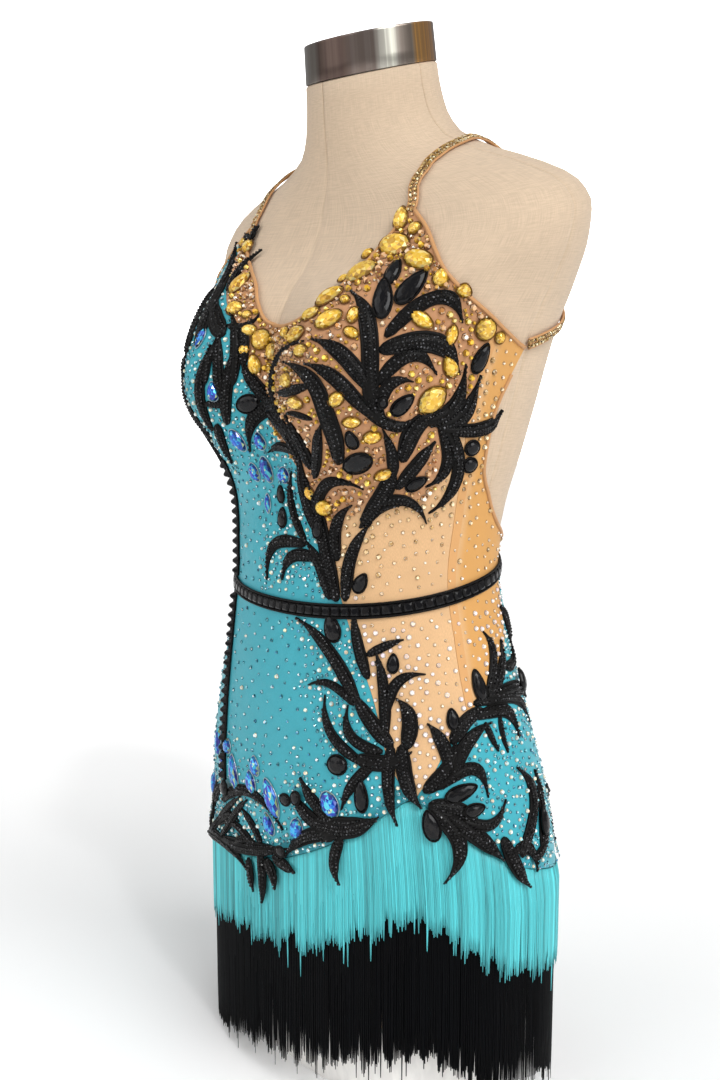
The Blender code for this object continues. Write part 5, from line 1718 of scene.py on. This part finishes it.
def make_applique(settings):
    """Four sprays of padded leaves, each leaf edged with cord and filled with sequins."""
    satin = black_finish("applique_satin", settings.black, 0.40)
    glass = jet_finish("sequin_jet", 0.16, 0.24)
    for name, rows in SPRAYS.items():
        piece(name + "_leaves", joined([leaf_mesh(row, k, settings) for k, row in enumerate(rows)]),
              satin, [name])
        found = np.array([spot for k, row in enumerate(rows)
                          for spot in leaf_sequins(row, k, settings)])
        reach = np.full(len(found), settings.sequin * 0.40)
        found = found[spread(found[:, :2], reach, np.zeros((0, 3)))]
        rise = leaf_height(found[:, 2], found[:, 3], settings.cord, settings.crown)
        seats, (across, up, out) = seated(found[:, :2], found[:, 5] + rise - 0.35 * MM)
        tilt = np.random.default_rng(31).normal(0, 0.26, (2, len(found), 1))
        tilted = unit(out + across * tilt[0] + up * tilt[1])
        across = square_to(across, tilted)
        stones_at(name + "_sequins", seats, (across, np.cross(tilted, across), tilted),
                  settings.sequin, 1.2 * MM, found[:, 4], cut_stone(5, SEQUIN_CUT), glass,
                  SEQUIN_FACETS, "black_applique", 37)


# ------------------------ fringe
# node, slot, lift at the root, lift at the widest level, column of the ends, share of strands, gloss
FRINGE_LAYERS = (
    ("fringe_black", "black_fringe", 1.3 * MM, 2.2 * MM, 2, 1.0, 0.06),
    ("fringe_turquoise", "turquoise_fringe", 3.3 * MM, 5.2 * MM, 1, 1.1, 0.4),
)
STRAND_SPANS = 7
STRAND_DEPTH = 0.45 * MM    # from one strand to the one behind it, three deep
HEADING_WIDTH, HEADING_WALL = 4.4 * MM, 1.1 * MM
FLOOR_CLEAR = 1.2 * MM


def strand_ends(angles, column, settings, chance):
    """How low each strand hangs: locks of neighbours share a length, a few straggle."""
    ends = np.interp(angles, FRINGE_ENDS[:, 0], FRINGE_ENDS[:, column])
    locks = in_locks(chance, 0.42, len(angles), 7)
    ends = ends + settings.straggle * (locks + chance.normal(0, 0.28, len(angles)))
    long = chance.uniform(0, 1, len(angles)) < 0.045
    ends = ends - np.where(long, chance.uniform(0.6, 2.6, len(angles)) * settings.straggle, 0)
    return np.maximum(ends, FORM_BOTTOM + FLOOR_CLEAR)


def in_locks(chance, spread_of, count, lock):
    """One random value for each lock of neighbouring strands."""
    return np.repeat(chance.normal(0, spread_of, count // lock + 1), lock)[:count]


def make_fringe(settings):
    """Two layers of hanging strands, rooted under the skirt's hem."""
    sides, rings = 4, STRAND_SPANS + 1
    strand = [(a, d, c, b) for a, b, c, d in quads(rings, sides)]
    last = rings * sides - 1
    strand += [tuple(range(sides)), tuple(range(last, last - sides, -1))]
    for layer, row in enumerate(FRINGE_LAYERS):
        name, slot, root_lift, wide_lift, column, share_of, gloss = row
        chance = np.random.default_rng(41 + layer)
        count = int(settings.strands * share_of)
        pitch = 360.0 / count
        angles = -180 + (np.arange(count) + 0.5) * pitch
        roots = hem_level(angles) - 0.8 * MM
        ends = strand_ends(angles, column, settings, chance)
        depth = (np.arange(count) % 3) * STRAND_DEPTH
        locks = in_locks(chance, 1.0, count, 9)
        sway = (chance.normal(0, 0.28, count) + 0.45 * locks) * pitch * 1.6
        tone = chance.uniform(0.22, 0.88, count)
        points = []
        for t in np.linspace(0, 1, rings):
            levels = roots + (ends - roots) * t
            held = np.maximum(levels, WIDEST_LEVEL)
            part = np.clip((roots - held) / np.maximum(roots - WIDEST_LEVEL, 12 * MM), 0, 1)
            lift = root_lift + (wide_lift - root_lift) * part - depth * (0.3 + 0.7 * t)
            width = settings.strand_width * (1.0 if t < 1 else 0.45)
            turned = angles + sway * t ** 1.6
            middle = lifted(turned, held, lift)
            middle[:, 2] += levels - held
            across, _, out = surface_frame(turned, held)
            for a, o in ((1, 0), (0, -1), (-1, 0), (0, 1)):
                points.append(middle + across * a * width / 2 + out * o * width * 0.32)
        points = np.stack(points, 1)
        faces = copies(outward(points[0], strand), rings * sides, count)
        base = settings.black if name == "fringe_black" else settings.turquoise
        made = strand_finish(name + "_rayon", base, gloss)
        tone = np.clip(tone + in_locks(chance, 0.16, count, 12), 0, 1)
        thing = piece(name + "_strands", (points.reshape(-1, 3), faces), made, [name])
        point_attribute(thing, "tone", np.repeat(tone, rings * sides))
        make_heading(name + "_heading", root_lift, made)


def make_heading(name, root_lift, made):
    """The narrow woven heading that a layer's strands hang from, under the hem."""
    angles = np.arange(-180.0, 180.0, 2.0)
    levels = hem_level(angles) - 2.6 * MM
    middle = lifted(angles, levels, root_lift - 0.2 * MM)
    shape = tube(middle, form_normal(angles, levels), HEADING_WIDTH, HEADING_WALL, 8, closed=True)
    thing = piece(name, shape, made)
    point_attribute(thing, "tone", np.full(len(shape[0]), 0.4))


# ------------------------ stage
FLOOR_RADIUS, DOME_RADIUS = 6.0, 7.0
AIM_HEIGHT, LAMP_DISTANCE = 0.44, 2.4
# name, azimuth and elevation (degrees), width as seen from the dress, share of the key's strength
SOFT_LIGHTS = (("key_light", 88, 38, 46, 1.0), ("fill_light", -20, 30, 60, 0.40),
               ("glint_light", 74, 44, 4, 0.16))


def make_floor(tone):
    floor_finish = Finish("pale_floor", tone, 0.85, Specular_IOR_Level=0.1,
                          Emission_Color=(1.0, 1.0, 1.0), Emission_Strength=0.09)
    grain = floor_finish.tones(floor_finish.cloud(3.0, 0.2, 0.8), tone, 0.985, 1.0)
    angles = np.arange(64) * math.tau / 64
    rim = np.stack([np.cos(angles) * FLOOR_RADIUS, np.sin(angles) * FLOOR_RADIUS, 0 * angles], 1)
    floor = mesh_object("floor", rim, [tuple(range(64))], floor_finish.paint(grain))


def make_backdrop(tone):
    """A plain white dome all round, which neither lights nor shades what stands in it."""
    paper = Finish("white_backdrop", tone, 0.9, Specular_IOR_Level=0.0, Emission_Strength=1.0)
    drift = paper.tones(paper.cloud(0.4, 0.2, 0.8), tone, 0.995, 1.0)
    turns = np.arange(48) * math.tau / 48
    rings = [np.stack([np.cos(turns) * math.cos(rise), np.sin(turns) * math.cos(rise),
                       np.full(48, math.sin(rise))], 1) * DOME_RADIUS
             for rise in np.radians(np.linspace(-80, 80, 17))]
    dome = mesh_object("backdrop", *loft(rings), paper.paint(drift, "Emission_Color"))
    dome.visible_diffuse = False
    dome.visible_glossy = False
    dome.visible_transmission = False
    dome.visible_shadow = False


def make_lights(settings):
    world = bpy.data.worlds.new("soft_studio")
    world.use_nodes = True
    world.node_tree.nodes["Background"].inputs["Color"].default_value = (1, 1, 1, 1)
    world.node_tree.nodes["Background"].inputs["Strength"].default_value = settings.sky
    bpy.context.scene.world = world
    for name, azimuth, elevation, width, power in SOFT_LIGHTS:
        turn, rise = math.radians(azimuth), math.radians(elevation)
        back = Vector((math.sin(turn) * math.cos(rise), -math.cos(turn) * math.cos(rise),
                       math.sin(rise)))
        light = bpy.data.lights.new(name, "SUN")
        light.angle = math.radians(width)
        light.energy = settings.key * power
        lamp = bpy.data.objects.new(name, light)
        lamp.location = Vector((0, 0, AIM_HEIGHT)) + back * LAMP_DISTANCE
        lamp.rotation_euler = back.to_track_quat("Z", "Y").to_euler()
        bpy.context.scene.collection.objects.link(lamp)


def make_camera(settings):
    camera = bpy.data.objects.new("camera", bpy.data.cameras.new("camera"))
    bpy.context.scene.collection.objects.link(camera)
    turn = settings.azimuth
    toward = Vector((-math.sin(turn), math.cos(turn), 0))
    right = Vector((math.cos(turn), math.sin(turn), 0))
    camera.location = -toward * settings.distance + Vector((0, 0, settings.height))
    aim = (toward - right * math.tan(settings.turn)).normalized()
    aim = aim - Vector((0, 0, math.tan(settings.tilt)))
    camera.rotation_euler = aim.to_track_quat("-Z", "Y").to_euler()
    camera.data.sensor_width = 36
    camera.data.lens = settings.lens
    camera.data.clip_end = 40
    bpy.context.scene.camera = camera


# ------------------------ operators
class DRESS_OT_stage(bpy.types.Operator):
    """Sets the camera, the floor and the soft light."""

    bl_idname = "dress.stage"
    bl_label = "Stage"

    def execute(self, context):
        settings = context.scene.dress_stage
        context.scene.view_settings.view_transform = "Standard"
        make_camera(settings)
        make_floor(settings.floor)
        make_backdrop((1.0, 1.0, 1.0))
        make_lights(settings)
        return {"FINISHED"}


class DRESS_OT_form(bpy.types.Operator):
    """Covers the dress form in linen and caps its neck."""

    bl_idname = "dress.form"
    bl_label = "Dress form"

    def execute(self, context):
        make_form(context.scene.dress_form)
        return {"FINISHED"}


class DRESS_OT_cloth(bpy.types.Operator):
    """Sews the nine stretched pieces of cloth."""

    bl_idname = "dress.cloth"
    bl_label = "Cloth"

    def execute(self, context):
        make_cloth(context.scene.dress_cloth)
        return {"FINISHED"}


class DRESS_OT_edges(bpy.types.Operator):
    """Binds the edges and adds the two crossed straps."""

    bl_idname = "dress.edges"
    bl_label = "Binding and straps"

    def execute(self, context):
        make_piping(context.scene.dress_cloth)
        make_straps(context.scene.dress_cloth)
        return {"FINISHED"}


class DRESS_OT_trim(bpy.types.Operator):
    """Adds the stoned belt and the band down the side."""

    bl_idname = "dress.trim"
    bl_label = "Belt and trim"

    def execute(self, context):
        make_belt(context.scene.dress_applique)
        make_trim(context.scene.dress_applique)
        return {"FINISHED"}


class DRESS_OT_applique(bpy.types.Operator):
    """Lays the padded black leaves and their sequins."""

    bl_idname = "dress.applique"
    bl_label = "Applique"

    def execute(self, context):
        make_applique(context.scene.dress_applique)
        return {"FINISHED"}


class DRESS_OT_stones(bpy.types.Operator):
    """Glues the black, gold, pearl, aqua and blue stones."""

    bl_idname = "dress.stones"
    bl_label = "Stones"

    def execute(self, context):
        make_black_stones(context.scene.dress_applique)
        taken = make_gold(context.scene.dress_stones)
        make_pearls(context.scene.dress_stones, taken)
        make_aquas(context.scene.dress_stones, taken)
        return {"FINISHED"}


class DRESS_OT_fringe(bpy.types.Operator):
    """Hangs the two layers of fringe from the hem."""

    bl_idname = "dress.fringe"
    bl_label = "Fringe"

    def execute(self, context):
        make_fringe(context.scene.dress_fringe)
        return {"FINISHED"}


OPERATORS = (DRESS_OT_stage, DRESS_OT_form, DRESS_OT_cloth, DRESS_OT_edges, DRESS_OT_trim,
             DRESS_OT_applique, DRESS_OT_stones, DRESS_OT_fringe)


class DRESS_PT_panel(bpy.types.Panel):
    """Lists the dress's settings and the steps that make it."""

    bl_idname = "DRESS_PT_panel"
    bl_label = "Salsa dance dress"
    bl_space_type = "VIEW_3D"
    bl_region_type = "UI"
    bl_category = "Dress"

    def draw(self, context):
        for operator in OPERATORS:
            self.layout.operator(operator.bl_idname)
        for key, group in SETTINGS.items():
            box = self.layout.box()
            box.label(text=group.__name__)
            for name in group.__annotations__:
                box.prop(getattr(context.scene, key), name)


def register():
    for group in SETTINGS.values():
        bpy.utils.register_class(group)
    for key, group in SETTINGS.items():
        setattr(bpy.types.Scene, key, bpy.props.PointerProperty(type=group))
    for operator in OPERATORS:
        bpy.utils.register_class(operator)
    bpy.utils.register_class(DRESS_PT_panel)


def unregister():
    bpy.utils.unregister_class(DRESS_PT_panel)
    for operator in reversed(OPERATORS):
        bpy.utils.unregister_class(operator)
    for key in SETTINGS:
        delattr(bpy.types.Scene, key)
    for group in SETTINGS.values():
        bpy.utils.unregister_class(group)


def main():
    register()
    bpy.ops.dress.stage()
    bpy.ops.dress.form()
    bpy.ops.dress.cloth()
    bpy.ops.dress.edges()
    bpy.ops.dress.trim()
    bpy.ops.dress.applique()
    bpy.ops.dress.stones()
    bpy.ops.dress.fringe()


if __name__ == "__main__":
    main()
